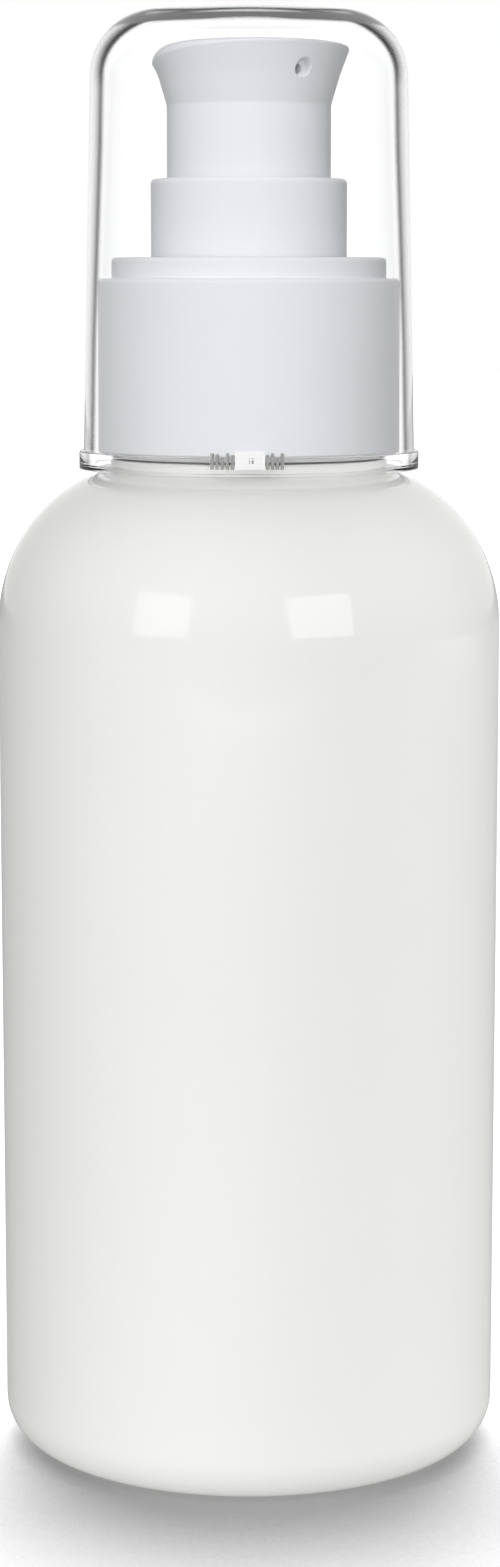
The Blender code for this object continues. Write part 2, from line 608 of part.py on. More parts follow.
def head_skin():
    """The closed outer form of the head, a loft whose rim drops from the nozzle to the back."""
    shape = bmesh.new()
    columns = []
    for column in range(SHELL_STEPS):
        angle = math.tau * column / SHELL_STEPS
        share = ((1 - math.cos(angle)) / 2) ** RIM_BLEND_POWER
        outline = head_ring(share)
        columns.append([shape.verts.new((r * math.sin(angle), -r * math.cos(angle), z)) for r, z in outline])
    centre = shape.verts.new((0, 0, HEAD_TOP_Z - HEAD_DISH_DEPTH))
    for column, here in enumerate(columns):
        there = columns[(column + 1) % SHELL_STEPS]
        for row in range(len(here) - 1):
            shape.faces.new((here[row], there[row], there[row + 1], here[row + 1]))
        shape.faces.new((here[-1], there[-1], centre))
    shape.faces.new([column[0] for column in columns])
    bmesh.ops.recalc_face_normals(shape, faces=shape.faces)
    mesh = bpy.data.meshes.new("actuator_head")
    shape.to_mesh(mesh)
    shape.free()
    mesh.shade_smooth()
    mesh.set_sharp_from_angle(angle=math.radians(35))
    return mesh


def make_actuator_head():
    """The finger head: flared skin, hollow underside, stem socket, duct and nozzle."""
    satin = plastic("head_satin_white", (0.80, 0.80, 0.82), 0.4)
    head = add_mesh_object("actuator_head", head_skin(), satin)
    socket_radius = STEM_RADIUS + CLEARANCE
    boss_radius = socket_radius + HEAD_BOSS_WALL
    neck_bore = HEAD_NECK_RADIUS - HEAD_WALL
    waist_bore = HEAD_WAIST_RADIUS - HEAD_WALL
    boss_bottom = HEAD_BOTTOM_Z + HEAD_BOSS_RECESS
    below = HEAD_BOTTOM_Z - OVERRUN
    hollow = [
        (0, boss_bottom),
        (boss_radius, boss_bottom),
        (boss_radius, HEAD_TOP_Z - HEAD_CAVITY_TOP_DROP),
        (waist_bore, HEAD_TOP_Z - HEAD_CAVITY_TOP_DROP),
        (waist_bore, HEAD_TOP_Z - HEAD_WAIST_DROP),
        (neck_bore, HEAD_TOP_Z - HEAD_FLARE_START),
        (neck_bore, below),
        (0, below),
    ]
    boolean(head, turned("head_hollow", hollow, steps=SHELL_STEPS))
    duct_radius = NOZZLE_BORE_RADIUS + NOZZLE_DUCT_WALL
    duct = cylinder("nozzle_duct", duct_radius, -socket_radius - HEAD_BOSS_WALL / 2,
                    -waist_bore - HEAD_WALL / 2, NOZZLE_Z)
    boolean(head, duct, "UNION")
    socket_top = STEM_TOP_Z + CLEARANCE
    socket = [
        (0, NOZZLE_Z),
        (HEAD_CHANNEL_RADIUS, NOZZLE_Z),
        (HEAD_CHANNEL_RADIUS, socket_top),
        (socket_radius, socket_top),
        (socket_radius, below),
        (0, below),
    ]
    boolean(head, turned("stem_socket", socket))
    front = -HEAD_RIM_FRONT_RADIUS - OVERRUN
    boolean(head, cylinder("nozzle_bore", NOZZLE_BORE_RADIUS, 0, front, NOZZLE_Z))
    recess_back = -HEAD_WAIST_RADIUS + NOZZLE_RECESS_DEPTH
    boolean(head, cylinder("nozzle_recess", NOZZLE_RECESS_RADIUS, recess_back, front, NOZZLE_Z))


def domed_top(wall_radius, edge_radius, top_z, start_deg):
    """Points of a shallow dome that runs smoothly into its rounded edge, from the axis outwards."""
    start = math.radians(start_deg)
    centre_r = wall_radius - edge_radius
    dome_radius = centre_r + edge_radius * math.cos(start)
    dome_rise = dome_radius / math.tan(start) / 2
    centre_z = top_z - dome_rise - edge_radius * math.sin(start)
    points = [(0, top_z)]
    points += [(dome_radius * share, top_z - dome_rise * share ** 2) for share in DOME_MIDDLE_SHARES]
    return points + arc((centre_r, centre_z), (edge_radius, edge_radius), start_deg, 0, OVERCAP_EDGE_STEPS)


def make_overcap():
    """The clear cap: domed top, tapered wall, hem flange and two notches beside the gate."""
    hem_bore = CLOSURE_RADIUS + OVERCAP_CLEARANCE
    hem_radius = hem_bore + OVERCAP_HEM_WALL
    top_radius = hem_radius - OVERCAP_TAPER
    flange_radius = hem_radius + OVERCAP_FLANGE_OUT
    flange_top = OVERCAP_HEM_Z + OVERCAP_FLANGE_HEIGHT
    outside = domed_top(top_radius, OVERCAP_EDGE_RADIUS, OVERCAP_TOP_Z, OVERCAP_DOME_START_DEG)
    outside += [
        (hem_radius, flange_top),
        (flange_radius, flange_top),
        (flange_radius, OVERCAP_HEM_Z),
        (hem_bore, OVERCAP_HEM_Z),
        (hem_bore, CLOSURE_HEM_Z),
        (CLOSURE_RADIUS + OVERCAP_GRIP_CLEARANCE, CLOSURE_SHOULDER_Z),
    ]
    ceiling_z = OVERCAP_TOP_Z - OVERCAP_TOP_WALL
    inner_edge_radius = OVERCAP_EDGE_RADIUS - OVERCAP_WALL
    inside = domed_top(top_radius - OVERCAP_WALL, inner_edge_radius, ceiling_z, OVERCAP_CEILING_START_DEG)
    inside.reverse()
    clear = plastic("overcap_clear", (0.95, 0.96, 0.97), 0.05, transmission=0.9)
    overcap = turned("overcap", outside + inside, clear, SHELL_STEPS)
    size = (2 * (flange_radius - hem_bore) + OVERRUN, NOTCH_WIDTH, NOTCH_HEIGHT + OVERRUN)
    for side in (-1, 1):
        turn = Matrix.Rotation(math.radians(NOTCH_DIRECTION_DEG), 4, "Z")
        place = Matrix.Translation((flange_radius, side * NOTCH_SPACING / 2,
                                    OVERCAP_HEM_Z + NOTCH_HEIGHT - size[2] / 2))
        boolean(overcap, box("gate_notch_%d" % (side + 1), size, turn @ place))


clear_scene()
PARTS = new_collection("lotion_pump_bottle")
CUTTERS = new_collection("cutters")
make_bottle()
make_closure()
make_gasket()
make_housing()
make_guide_collar()
make_stem()
make_plunger_rod()
make_piston()
make_return_spring()
make_ball_cage()
make_inlet_ball()
make_dip_tube()
make_actuator_head()
make_overcap()
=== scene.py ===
# %% [markdown]
# A lotion pump bottle under its clear cap. Almost everything on it is turned about one upright
# axis, so the lesson is about outlines: how a soft-edged profile becomes a moulded part, how a
# spiral becomes a thread or a spring, and how a clear wall gets its dark edge lines. The packed
# model gives the true sizes, and each visible piece is built from them.

# %% Load the model
import math
import bmesh
import bpy
from mathutils import Matrix, Vector


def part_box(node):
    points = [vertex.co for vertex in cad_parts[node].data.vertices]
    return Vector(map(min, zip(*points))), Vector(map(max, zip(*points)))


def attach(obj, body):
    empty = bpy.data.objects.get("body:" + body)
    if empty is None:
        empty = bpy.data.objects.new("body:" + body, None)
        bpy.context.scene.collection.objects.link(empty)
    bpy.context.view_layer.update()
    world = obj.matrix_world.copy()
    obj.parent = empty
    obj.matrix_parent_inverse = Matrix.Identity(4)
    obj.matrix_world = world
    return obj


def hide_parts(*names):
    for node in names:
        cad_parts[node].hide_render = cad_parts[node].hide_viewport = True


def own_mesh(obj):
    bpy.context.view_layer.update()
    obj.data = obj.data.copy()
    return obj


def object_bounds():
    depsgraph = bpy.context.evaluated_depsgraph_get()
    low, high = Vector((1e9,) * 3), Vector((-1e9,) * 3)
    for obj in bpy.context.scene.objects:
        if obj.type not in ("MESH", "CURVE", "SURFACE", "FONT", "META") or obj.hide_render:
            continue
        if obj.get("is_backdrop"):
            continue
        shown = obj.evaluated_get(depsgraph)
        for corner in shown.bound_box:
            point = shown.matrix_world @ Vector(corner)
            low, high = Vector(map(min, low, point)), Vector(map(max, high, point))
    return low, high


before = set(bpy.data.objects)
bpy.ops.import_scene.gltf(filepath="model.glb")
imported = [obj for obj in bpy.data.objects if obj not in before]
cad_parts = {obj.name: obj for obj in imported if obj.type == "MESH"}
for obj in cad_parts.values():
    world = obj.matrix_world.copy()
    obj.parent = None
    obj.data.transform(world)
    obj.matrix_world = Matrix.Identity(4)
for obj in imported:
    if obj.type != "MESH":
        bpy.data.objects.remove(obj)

cad_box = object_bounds()
print("nodes:", sorted(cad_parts))

# %% [markdown]
# The photograph is taken from close by, a little above the bottle's middle, so upright lines
# lean together and round edges show as curves. The camera stands at the distance where those
# curves have the right depth. Its lens is given by a focal length in pixels of the 500 by 1567
# frame, and a shift keeps the upright framing without tilting further.

# %% Camera
FRAME_WIDTH_PX = 500
FRAME_HEIGHT_PX = 1567
FOCAL_PX = 3553
PRINCIPAL_X_PX = 248.9
PRINCIPAL_Y_PX = 876
CAMERA_DISTANCE = 0.3334
CAMERA_HEIGHT = 0.1110
CAMERA_PITCH_DEG = 9.59
CAMERA_TURN_DEG = 35
SENSOR_MM = 36
CLIP_START = 0.01


def add_object(name, data):
    """An object with this data, in the scene."""
    item = bpy.data.objects.new(name, data)
    bpy.context.scene.collection.objects.link(item)
    return item


turn_angle = math.radians(CAMERA_TURN_DEG)
away = Vector((math.sin(turn_angle), math.cos(turn_angle), 0))
rightward = Vector((math.cos(turn_angle), -math.sin(turn_angle), 0))
camera_data = bpy.data.cameras.new("camera")
camera_data.sensor_width = SENSOR_MM
camera_data.lens = SENSOR_MM * FOCAL_PX / FRAME_HEIGHT_PX
camera_data.shift_x = (FRAME_WIDTH_PX / 2 - PRINCIPAL_X_PX) / FRAME_HEIGHT_PX
camera_data.shift_y = (PRINCIPAL_Y_PX - FRAME_HEIGHT_PX / 2) / FRAME_HEIGHT_PX
camera_data.clip_start = CLIP_START
camera = add_object("camera", camera_data)
camera.location = -away * CAMERA_DISTANCE + Vector((0, 0, CAMERA_HEIGHT))
camera.rotation_euler = (math.radians(90 - CAMERA_PITCH_DEG), 0, -turn_angle)
bpy.context.scene.camera = camera
print("lens", round(camera_data.lens, 2), "mm at", [round(value, 4) for value in camera.location])

# %% [markdown]
# A moulded part has no knife edges: each corner of its section is a small arc. An outline is
# written as corner points with a radius, and one helper swaps each corner for its arc. It also
# leaves a point close before and after the arc, because smooth shading spreads over whole
# faces, and a narrow face there keeps the flat walls looking flat.

# %% Outline helpers
SUPPORT_GAP = 0.00012
CORNER_STEPS = 5


def arc(centre, radii, start_deg, end_deg, steps):
    """Points (r, z) on an elliptic arc, both ends included; zero degrees points outwards."""
    angles = [math.radians(start_deg + (end_deg - start_deg) * step / steps)
              for step in range(steps + 1)]
    return [(centre[0] + radii[0] * math.cos(a), centre[1] + radii[1] * math.sin(a))
            for a in angles]


def rounded(corners, steps=CORNER_STEPS):
    """Swap each corner (r, z, radius) for an arc; a radius of zero keeps the point as it is."""
    points = []
    for index, (r, z, radius) in enumerate(corners):
        corner = Vector((r, z))
        if radius == 0:
            points.append((r, z))
            continue
        before = (Vector(corners[index - 1][:2]) - corner).normalized()
        after = (Vector(corners[(index + 1) % len(corners)][:2]) - corner).normalized()
        half = before.angle(after) / 2
        reach = radius / math.tan(half)
        centre = corner + (before + after).normalized() * radius / math.sin(half)
        start = corner + before * reach - centre
        sweep = start.angle_signed(corner + after * reach - centre)
        points.append(tuple(corner + before * (reach + SUPPORT_GAP)))
        for step in range(steps + 1):
            spoke = start.copy()
            spoke.rotate(Matrix.Rotation(-sweep * step / steps, 2))
            points.append(tuple(centre + spoke))
        points.append(tuple(corner + after * (reach + SUPPORT_GAP)))
    return points


print("a corner becomes", len(rounded([(0, 0, 0), (1, 0, 0.1), (1, 1, 0)])) - 2, "points")

# %% [markdown]
# Turning a section about the axis can be done with the Screw modifier or with the spin operator
# of a mesh. The spin is used here, because the result is a plain mesh straight away: doubles on
# the axis are merged, and the faces are then made to point outwards.

# %% Turning helper
TURN_SEGMENTS = 160
MERGE_DISTANCE = 0.000002
SHARP_DEG = 50
CRISP_DEG = 40


def finish_mesh(shape, name, sharp_deg=SHARP_DEG):
    """Merge doubles, point faces outwards, shade smooth and make an object of it."""
    bmesh.ops.remove_doubles(shape, verts=shape.verts, dist=MERGE_DISTANCE)
    bmesh.ops.dissolve_degenerate(shape, edges=shape.edges, dist=MERGE_DISTANCE / 2)
    bmesh.ops.recalc_face_normals(shape, faces=shape.faces)
    mesh = bpy.data.meshes.new(name)
    shape.to_mesh(mesh)
    shape.free()
    mesh.shade_smooth()
    mesh.set_sharp_from_angle(angle=math.radians(sharp_deg))
    print(name, "has", len(mesh.polygons), "faces")
    return add_object(name, mesh)


def turned(name, outline, segments=TURN_SEGMENTS):
    """A closed solid from an outline (r, z), which may start and end on the axis."""
    shape = bmesh.new()
    corners = [shape.verts.new((r, 0, z)) for r, z in outline]
    edges = [shape.edges.new(pair) for pair in zip(corners, corners[1:])]
    if outline[0][0] > 0 or outline[-1][0] > 0:
        edges.append(shape.edges.new((corners[-1], corners[0])))
    bmesh.ops.spin(shape, geom=corners + edges, cent=(0, 0, 0), axis=(0, 0, 1), angle=math.tau,
                   steps=segments)
    return finish_mesh(shape, name)


def settled(piece):
    """The mesh that a piece's modifiers give; they are then removed."""
    bpy.context.view_layer.update()
    evaluated = piece.evaluated_get(bpy.context.evaluated_depsgraph_get())
    mesh = bpy.data.meshes.new_from_object(evaluated)
    piece.modifiers.clear()
    return mesh


# %% [markdown]
# Node trees are written as text here, so that a tree reads like a recipe from top to bottom.
# The first helper feeds a node: each input gets a plain value, or the socket that it follows.
# The others add the nodes that are needed again and again, and hand back their answer.

# %% Node helpers
def feed(tree, node, inputs):
    """Give each input of a node a plain value, or the socket that it follows."""
    for key, value in inputs.items():
        if isinstance(value, bpy.types.NodeSocket):
            tree.links.new(value, node.inputs[key])
        else:
            node.inputs[key].default_value = value


def add_node(tree, kind, inputs):
    """A new node with its inputs fed."""
    node = tree.nodes.new(kind)
    feed(tree, node, inputs)
    return node


def new_group(name, kind, inputs, outputs):
    """A node group with sockets (name, kind, value), and the sockets that its inputs come from."""
    tree = bpy.data.node_groups.new(name, kind)
    for way, rows in (("OUTPUT", outputs), ("INPUT", inputs)):
        for label, socket_kind, *value in rows:
            socket = tree.interface.new_socket(name=label, in_out=way,
                                               socket_type=f"NodeSocket{socket_kind}")
            if value:
                socket.default_value = value[0]
    return tree, tree.nodes.new("NodeGroupInput").outputs


def use_group(tree, group, inputs):
    """Place a shader group in a tree; its answers come back."""
    node = tree.nodes.new("ShaderNodeGroup")
    node.node_tree = group
    feed(tree, node, inputs)
    return node.outputs


def maths(tree, operation, *values):
    """The answer of one calculation with numbers or sockets."""
    node = tree.nodes.new("ShaderNodeMath")
    node.operation = operation
    feed(tree, node, dict(enumerate(values)))
    return node.outputs["Value"]


def vector_maths(tree, operation, *values):
    """The answers of one calculation with vectors."""
    node = tree.nodes.new("ShaderNodeVectorMath")
    node.operation = operation
    feed(tree, node, dict(enumerate(values)))
    return node.outputs


def product(tree, *values):
    """Several values multiplied."""
    answer = values[0]
    for value in values[1:]:
        answer = maths(tree, "MULTIPLY", answer, value)
    return answer


def mapped(tree, value, from_min, from_max, to_min=0.0, to_max=1.0):
    """A value carried over from one range to another."""
    return add_node(tree, "ShaderNodeMapRange", {
        "Value": value, "From Min": from_min, "From Max": from_max, "To Min": to_min,
        "To Max": to_max}).outputs["Result"]


def mixed(tree, factor, first, second):
    """A colour between two."""
    node = tree.nodes.new("ShaderNodeMix")
    node.data_type = "RGBA"
    feed(tree, node, {"Factor": factor, "A": first, "B": second})
    return node.outputs["Result"]


def own_place(tree):
    """Where a point lies on its own object, so that a pattern stays put as the object moves."""
    return tree.nodes.new("ShaderNodeTexCoord").outputs["Object"]


def noise(tree, place, scale, detail=2):
    """Soft random grey; a larger scale makes it finer."""
    inputs = {"Vector": place, "Scale": scale, "Detail": detail}
    return add_node(tree, "ShaderNodeTexNoise", inputs).outputs["Fac"]


def relief(tree, height, strength, distance):
    """A surface direction that a height disturbs."""
    inputs = {"Height": height, "Strength": strength, "Distance": distance}
    return add_node(tree, "ShaderNodeBump", inputs).outputs["Normal"]


def new_material(name):
    """A material, its tree and its surface shader."""
    material = bpy.data.materials.new(name)
    material.use_nodes = True
    return material, material.node_tree, material.node_tree.nodes["Principled BSDF"]


# %% [markdown]
# A thread and a spring are the same thing to a modeller: a round wire that climbs round an
# axis. Geometry Nodes make it once, from a spiral curve and a circle swept along it. The tree's
# inputs are the sizes of the coil, and a taper thins the ends so that a thread runs out softly.

# %% Coil tree
WIRE_SIDES = 14
THINNEST_SHARE = 0.05


def coil_tree():
    """A swept spiral with tapered ends."""
    tree, given = new_group("coil", "GeometryNodeTree", [
        ("Radius", "Float", 0.01), ("Turns", "Float", 1.5), ("Rise", "Float", 0.005),
        ("Start Height", "Float", 0.0), ("Wire Radius", "Float", 0.0005),
        ("Taper Share", "Float", 0.1), ("Steps per Turn", "Int", 60), ("Material", "Material"),
    ], [("Geometry", "Geometry")])
    spiral = add_node(tree, "GeometryNodeCurveSpiral", {
        "Resolution": given["Steps per Turn"], "Rotations": given["Turns"],
        "Start Radius": given["Radius"], "End Radius": given["Radius"], "Height": given["Rise"]})
    along = tree.nodes.new("GeometryNodeSplineParameter").outputs["Factor"]
    taper = add_node(tree, "ShaderNodeMapRange", {
        "Value": maths(tree, "PINGPONG", along, 0.5), "From Max": given["Taper Share"],
        "To Min": THINNEST_SHARE})
    taper.interpolation_type = "SMOOTHSTEP"
    wire = add_node(tree, "GeometryNodeSetCurveRadius", {
        "Curve": spiral.outputs["Curve"], "Radius": taper.outputs["Result"]})
    circle = add_node(tree, "GeometryNodeCurvePrimitiveCircle", {
        "Resolution": WIRE_SIDES, "Radius": given["Wire Radius"]})
    thickness = tree.nodes.new("GeometryNodeInputRadius").outputs["Radius"]
    sweep = add_node(tree, "GeometryNodeCurveToMesh", {
        "Curve": wire.outputs["Curve"], "Profile Curve": circle.outputs["Curve"],
        "Scale": thickness, "Fill Caps": True})
    place = add_node(tree, "ShaderNodeCombineXYZ", {"Z": given["Start Height"]})
    lift = add_node(tree, "GeometryNodeTransform", {
        "Geometry": sweep.outputs["Mesh"], "Translation": place.outputs["Vector"]})
    smooth = add_node(tree, "GeometryNodeSetShadeSmooth", {"Geometry": lift.outputs["Geometry"]})
    paint = add_node(tree, "GeometryNodeSetMaterial", {
        "Geometry": smooth.outputs["Geometry"], "Material": given["Material"]})
    add_node(tree, "NodeGroupOutput", {"Geometry": paint.outputs["Geometry"]})
    return tree


COIL = coil_tree()


def coil(name, material, **values):
    """A coil from the tree with these values, as a plain mesh."""
    piece = add_object(name, bpy.data.meshes.new(name))
    modifier = piece.modifiers.new("coil", "NODES")
    modifier.node_group = COIL
    wanted = {key.replace("_", " "): value for key, value in values.items()}
    wanted["material"] = material
    for item in COIL.interface.items_tree:
        if item.in_out == "INPUT" and item.name.lower() in wanted:
            modifier[item.identifier] = wanted[item.name.lower()]
    mesh = settled(piece)
    shape = bmesh.new()
    shape.from_mesh(mesh)
    bmesh.ops.remove_doubles(shape, verts=shape.verts, dist=MERGE_DISTANCE)
    bmesh.ops.recalc_face_normals(shape, faces=shape.faces)
    shape.to_mesh(mesh)
    shape.free()
    piece.data = mesh
    print(name, "has", len(mesh.polygons), "faces")
    return piece


# %% [markdown]
# Moulded plastic is never one flat colour. Its skin has a very fine grain from the mould, soft
# clouds where it cooled unevenly, and a roughness that follows them. All the plastics here
# share that effect, so it is one shader group with its own values in each material: it puts
# out a colour, a roughness and a height.

# %% Moulded plastic group
GRAIN_HEIGHT = 0.00002


def moulded_group():
    """Colour clouds, roughness variation and fine grain for moulded plastic."""
    tree, given = new_group("moulded_plastic", "ShaderNodeTree", [
        ("Vector", "Vector"), ("Colour", "Color"), ("Cloud Colour", "Color"),
        ("Cloud Scale", "Float", 60), ("Grain Scale", "Float", 6000),
        ("Least Roughness", "Float", 0.3), ("Most Roughness", "Float", 0.4),
    ], [("Colour", "Color"), ("Roughness", "Float"), ("Height", "Float")])
    clouds = noise(tree, given["Vector"], given["Cloud Scale"], 3)
    add_node(tree, "NodeGroupOutput", {
        "Colour": mixed(tree, clouds, given["Colour"], given["Cloud Colour"]),
        "Roughness": mapped(tree, clouds, 0, 1, given["Least Roughness"], given["Most Roughness"]),
        "Height": noise(tree, given["Vector"], given["Grain Scale"])})
    return tree


MOULDED = moulded_group()


def moulded(name, colour, cloud_colour, roughness, grain_scale, bump, cloud_scale, **shader):
    """A plastic that uses the group; roughness is (least, most), bump is the grain's strength."""
    material, tree, surface = new_material(name)
    skin = use_group(tree, MOULDED, {
        "Vector": own_place(tree), "Colour": (*colour, 1), "Cloud Colour": (*cloud_colour, 1),
        "Cloud Scale": cloud_scale, "Grain Scale": grain_scale,
        "Least Roughness": roughness[0], "Most Roughness": roughness[1]})
    feed(tree, surface, {
        "Base Color": skin["Colour"], "Roughness": skin["Roughness"],
        "Normal": relief(tree, skin["Height"], bump, GRAIN_HEIGHT)})
    feed(tree, surface, {socket.replace("_", " "): value for socket, value in shader.items()})
    return material


BOTTLE_WHITE = moulded("bottle_white", (0.86, 0.86, 0.84), (0.83, 0.83, 0.81), (0.014, 0.028),
                       900, 0.010, 40)
PUMP_WHITE = moulded("pump_white", (0.86, 0.865, 0.885), (0.83, 0.835, 0.855), (0.38, 0.46),
                     5000, 0.12, 70)
CLOSURE_WHITE = moulded("closure_white", (0.87, 0.875, 0.895), (0.84, 0.845, 0.865), (0.36, 0.44),
                        4200, 0.12, 55)
NATURAL_WHITE = moulded("natural_white", (0.80, 0.81, 0.81), (0.74, 0.76, 0.76), (0.38, 0.5),
                        4000, 0.1, 90, Transmission_Weight=0.15)
FOAM_WHITE = moulded("foam_liner", (0.86, 0.86, 0.83), (0.80, 0.80, 0.77), (0.75, 0.9),
                     2600, 0.5, 300)
PISTON_WHITE = moulded("piston_white", (0.84, 0.84, 0.81), (0.79, 0.79, 0.76), (0.5, 0.6),
                       3000, 0.1, 120)
TUBE_MILKY = moulded("tube_milky", (0.86, 0.87, 0.86), (0.80, 0.82, 0.81), (0.25, 0.35),
                     1500, 0.05, 200, Transmission_Weight=0.4)
print("plastics:", [plastic.name for plastic in (
    BOTTLE_WHITE, PUMP_WHITE, CLOSURE_WHITE, NATURAL_WHITE, FOAM_WHITE, PISTON_WHITE, TUBE_MILKY)])

# %% [markdown]
# The bottle is one blown body. Its wall is straight, its shoulder is a quarter of an ellipse
# and its base is pushed up so that it stands on a ring. The neck has a bead, which the cap
# stops above, and one and a half turns of thread that the closure hides.

# %% Bottle
bottle_low, bottle_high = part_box("bottle")
BOTTLE_RADIUS = bottle_high[0]
LIP_Z = bottle_high[2]
BOTTLE_WALL = 0.0009
BODY_HEIGHT = 0.0937
SHOULDER_RISE = 0.0150
SHOULDER_RUN = 0.0140
HEEL_RADIUS = 0.0043
BASE_DISH_RADIUS = 0.0155
BASE_DISH_DEPTH = 0.0020
NECK_RADIUS = 0.01075
NECK_BORE_RADIUS = 0.0090
BEAD_RADIUS = 0.0129
BEAD_TOP_Z = BODY_HEIGHT + 0.00052
BEAD_GAP_DEG = 0.5
INNER_SHOULDER_END_DEG = 80
INSIDE_STEPS = {"dish": 12, "heel": 14, "shoulder": 28}
OUTSIDE_STEPS = {"dish": 14, "heel": 16, "shoulder": 36}

shoulder_centre = (BOTTLE_RADIUS - SHOULDER_RUN, BODY_HEIGHT - SHOULDER_RISE)
heel_centre = (BOTTLE_RADIUS - HEEL_RADIUS, HEEL_RADIUS)
bead_deg = math.degrees(math.acos((BEAD_RADIUS - shoulder_centre[0]) / SHOULDER_RUN))
bead_foot_z = shoulder_centre[1] + SHOULDER_RISE * math.sin(math.radians(bead_deg))
neck_outline = rounded([
    (NECK_BORE_RADIUS, BODY_HEIGHT - BOTTLE_WALL, 0.0004),
    (NECK_BORE_RADIUS, LIP_Z, 0.0002),
    (NECK_RADIUS, LIP_Z, 0.0003),
    (NECK_RADIUS, BEAD_TOP_Z, 0.0003),
    (BEAD_RADIUS, BEAD_TOP_Z, 0.0002),
    (BEAD_RADIUS, bead_foot_z, 0),
])
inner_shoulder = (SHOULDER_RUN - BOTTLE_WALL, SHOULDER_RISE - BOTTLE_WALL)
inner_heel = HEEL_RADIUS - BOTTLE_WALL
dish = (BASE_DISH_RADIUS, BASE_DISH_DEPTH)
inside = arc((0, BOTTLE_WALL), dish, 90, 0, INSIDE_STEPS["dish"])
inside[0] = (0, BOTTLE_WALL + BASE_DISH_DEPTH)
inside += arc(heel_centre, (inner_heel, inner_heel), -90, 0, INSIDE_STEPS["heel"])
inside += arc(shoulder_centre, inner_shoulder, 0, INNER_SHOULDER_END_DEG, INSIDE_STEPS["shoulder"])
outside = arc(shoulder_centre, (SHOULDER_RUN, SHOULDER_RISE), bead_deg - BEAD_GAP_DEG, 0,
              OUTSIDE_STEPS["shoulder"])
outside += arc(heel_centre, (HEEL_RADIUS, HEEL_RADIUS), 0, -90, OUTSIDE_STEPS["heel"])
outside += arc((0, 0), dish, 0, 90, OUTSIDE_STEPS["dish"])
outside[-1] = (0, BASE_DISH_DEPTH)
bottle_body = turned("bottle_body", inside + neck_outline[1:] + outside)
bottle_body.data.materials.append(BOTTLE_WHITE)
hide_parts("bottle")
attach(bottle_body, "bottle")

# %% Neck thread
THREAD_PITCH = 0.003175
NECK_THREAD_TURNS = 1.5
NECK_THREAD_Z = BODY_HEIGHT + 0.0088
NECK_THREAD_RADIUS = NECK_RADIUS + 0.00025
NECK_THREAD_WIRE = 0.0008
neck_thread = coil("neck_thread", BOTTLE_WHITE, radius=NECK_THREAD_RADIUS,
                   turns=NECK_THREAD_TURNS, rise=THREAD_PITCH * NECK_THREAD_TURNS,
                   start_height=NECK_THREAD_Z, wire_radius=NECK_THREAD_WIRE, taper_share=0.08)
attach(neck_thread, "bottle")

# %% [markdown]
# The closure is a threaded ring with a stepped top. The step carries a deck whose hole lets
# the pump's collar through, and the deck clamps the pump's flange on the bottle's lip. Every
# edge is softly rounded, which is what catches the light on a satin part. The hem turns in
# under the cap's flange, where it makes the dark line over the shoulder.

# %% Closure
closure_low, closure_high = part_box("closure")
CLOSURE_RADIUS = closure_high[0]
CLOSURE_TAPER = 0.00004
CLOSURE_BORE_RADIUS = 0.01235
CLOSURE_STEP_RADIUS = 0.0127
CLOSURE_HEM_RADIUS = 0.01285
CLOSURE_HEM_Z = closure_low[2] - 0.00062
CLOSURE_SHOULDER_Z = closure_low[2] + 0.0157
FLANGE_POCKET_RADIUS = 0.0116
FLANGE_POCKET_Z = CLOSURE_SHOULDER_Z - 0.0010
DECK_HOLE_RADIUS = 0.00935
DECK_UNDERSIDE_Z = closure_high[2] - 0.0010
CLOSURE_THREAD_RADIUS = CLOSURE_BORE_RADIUS - 0.00015
CLOSURE_THREAD_Z = NECK_THREAD_Z - THREAD_PITCH / 2
CLOSURE_THREAD_WIRE = 0.0007
closure_ring = turned("closure_ring", rounded([
    (DECK_HOLE_RADIUS, closure_high[2], 0.00015),
    (CLOSURE_STEP_RADIUS, closure_high[2], 0.0004),
    (CLOSURE_STEP_RADIUS, CLOSURE_SHOULDER_Z, 0.00015),
    (CLOSURE_RADIUS - CLOSURE_TAPER, CLOSURE_SHOULDER_Z, 0.0004),
    (CLOSURE_RADIUS, closure_low[2], 0.00012),
    (CLOSURE_HEM_RADIUS, CLOSURE_HEM_Z, 0.00015),
    (CLOSURE_BORE_RADIUS, CLOSURE_HEM_Z, 0.0001),
    (CLOSURE_BORE_RADIUS, FLANGE_POCKET_Z, 0.0002),
    (FLANGE_POCKET_RADIUS, FLANGE_POCKET_Z, 0.0002),
    (FLANGE_POCKET_RADIUS, DECK_UNDERSIDE_Z, 0.0002),
    (DECK_HOLE_RADIUS, DECK_UNDERSIDE_Z, 0.00015),
]))
closure_ring.data.materials.append(CLOSURE_WHITE)
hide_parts("closure")
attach(closure_ring, "closure")
closure_thread = coil("closure_thread", CLOSURE_WHITE, radius=CLOSURE_THREAD_RADIUS, turns=1.0,
                      rise=THREAD_PITCH, start_height=CLOSURE_THREAD_Z,
                      wire_radius=CLOSURE_THREAD_WIRE, taper_share=0.1)
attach(closure_thread, "closure")

# %% [markdown]
# The guide collar is a short tube that snaps into the pump body and stands up through the
# deck. The head slides inside it, so its bore and floor show when the head is pressed or seen
# from above.

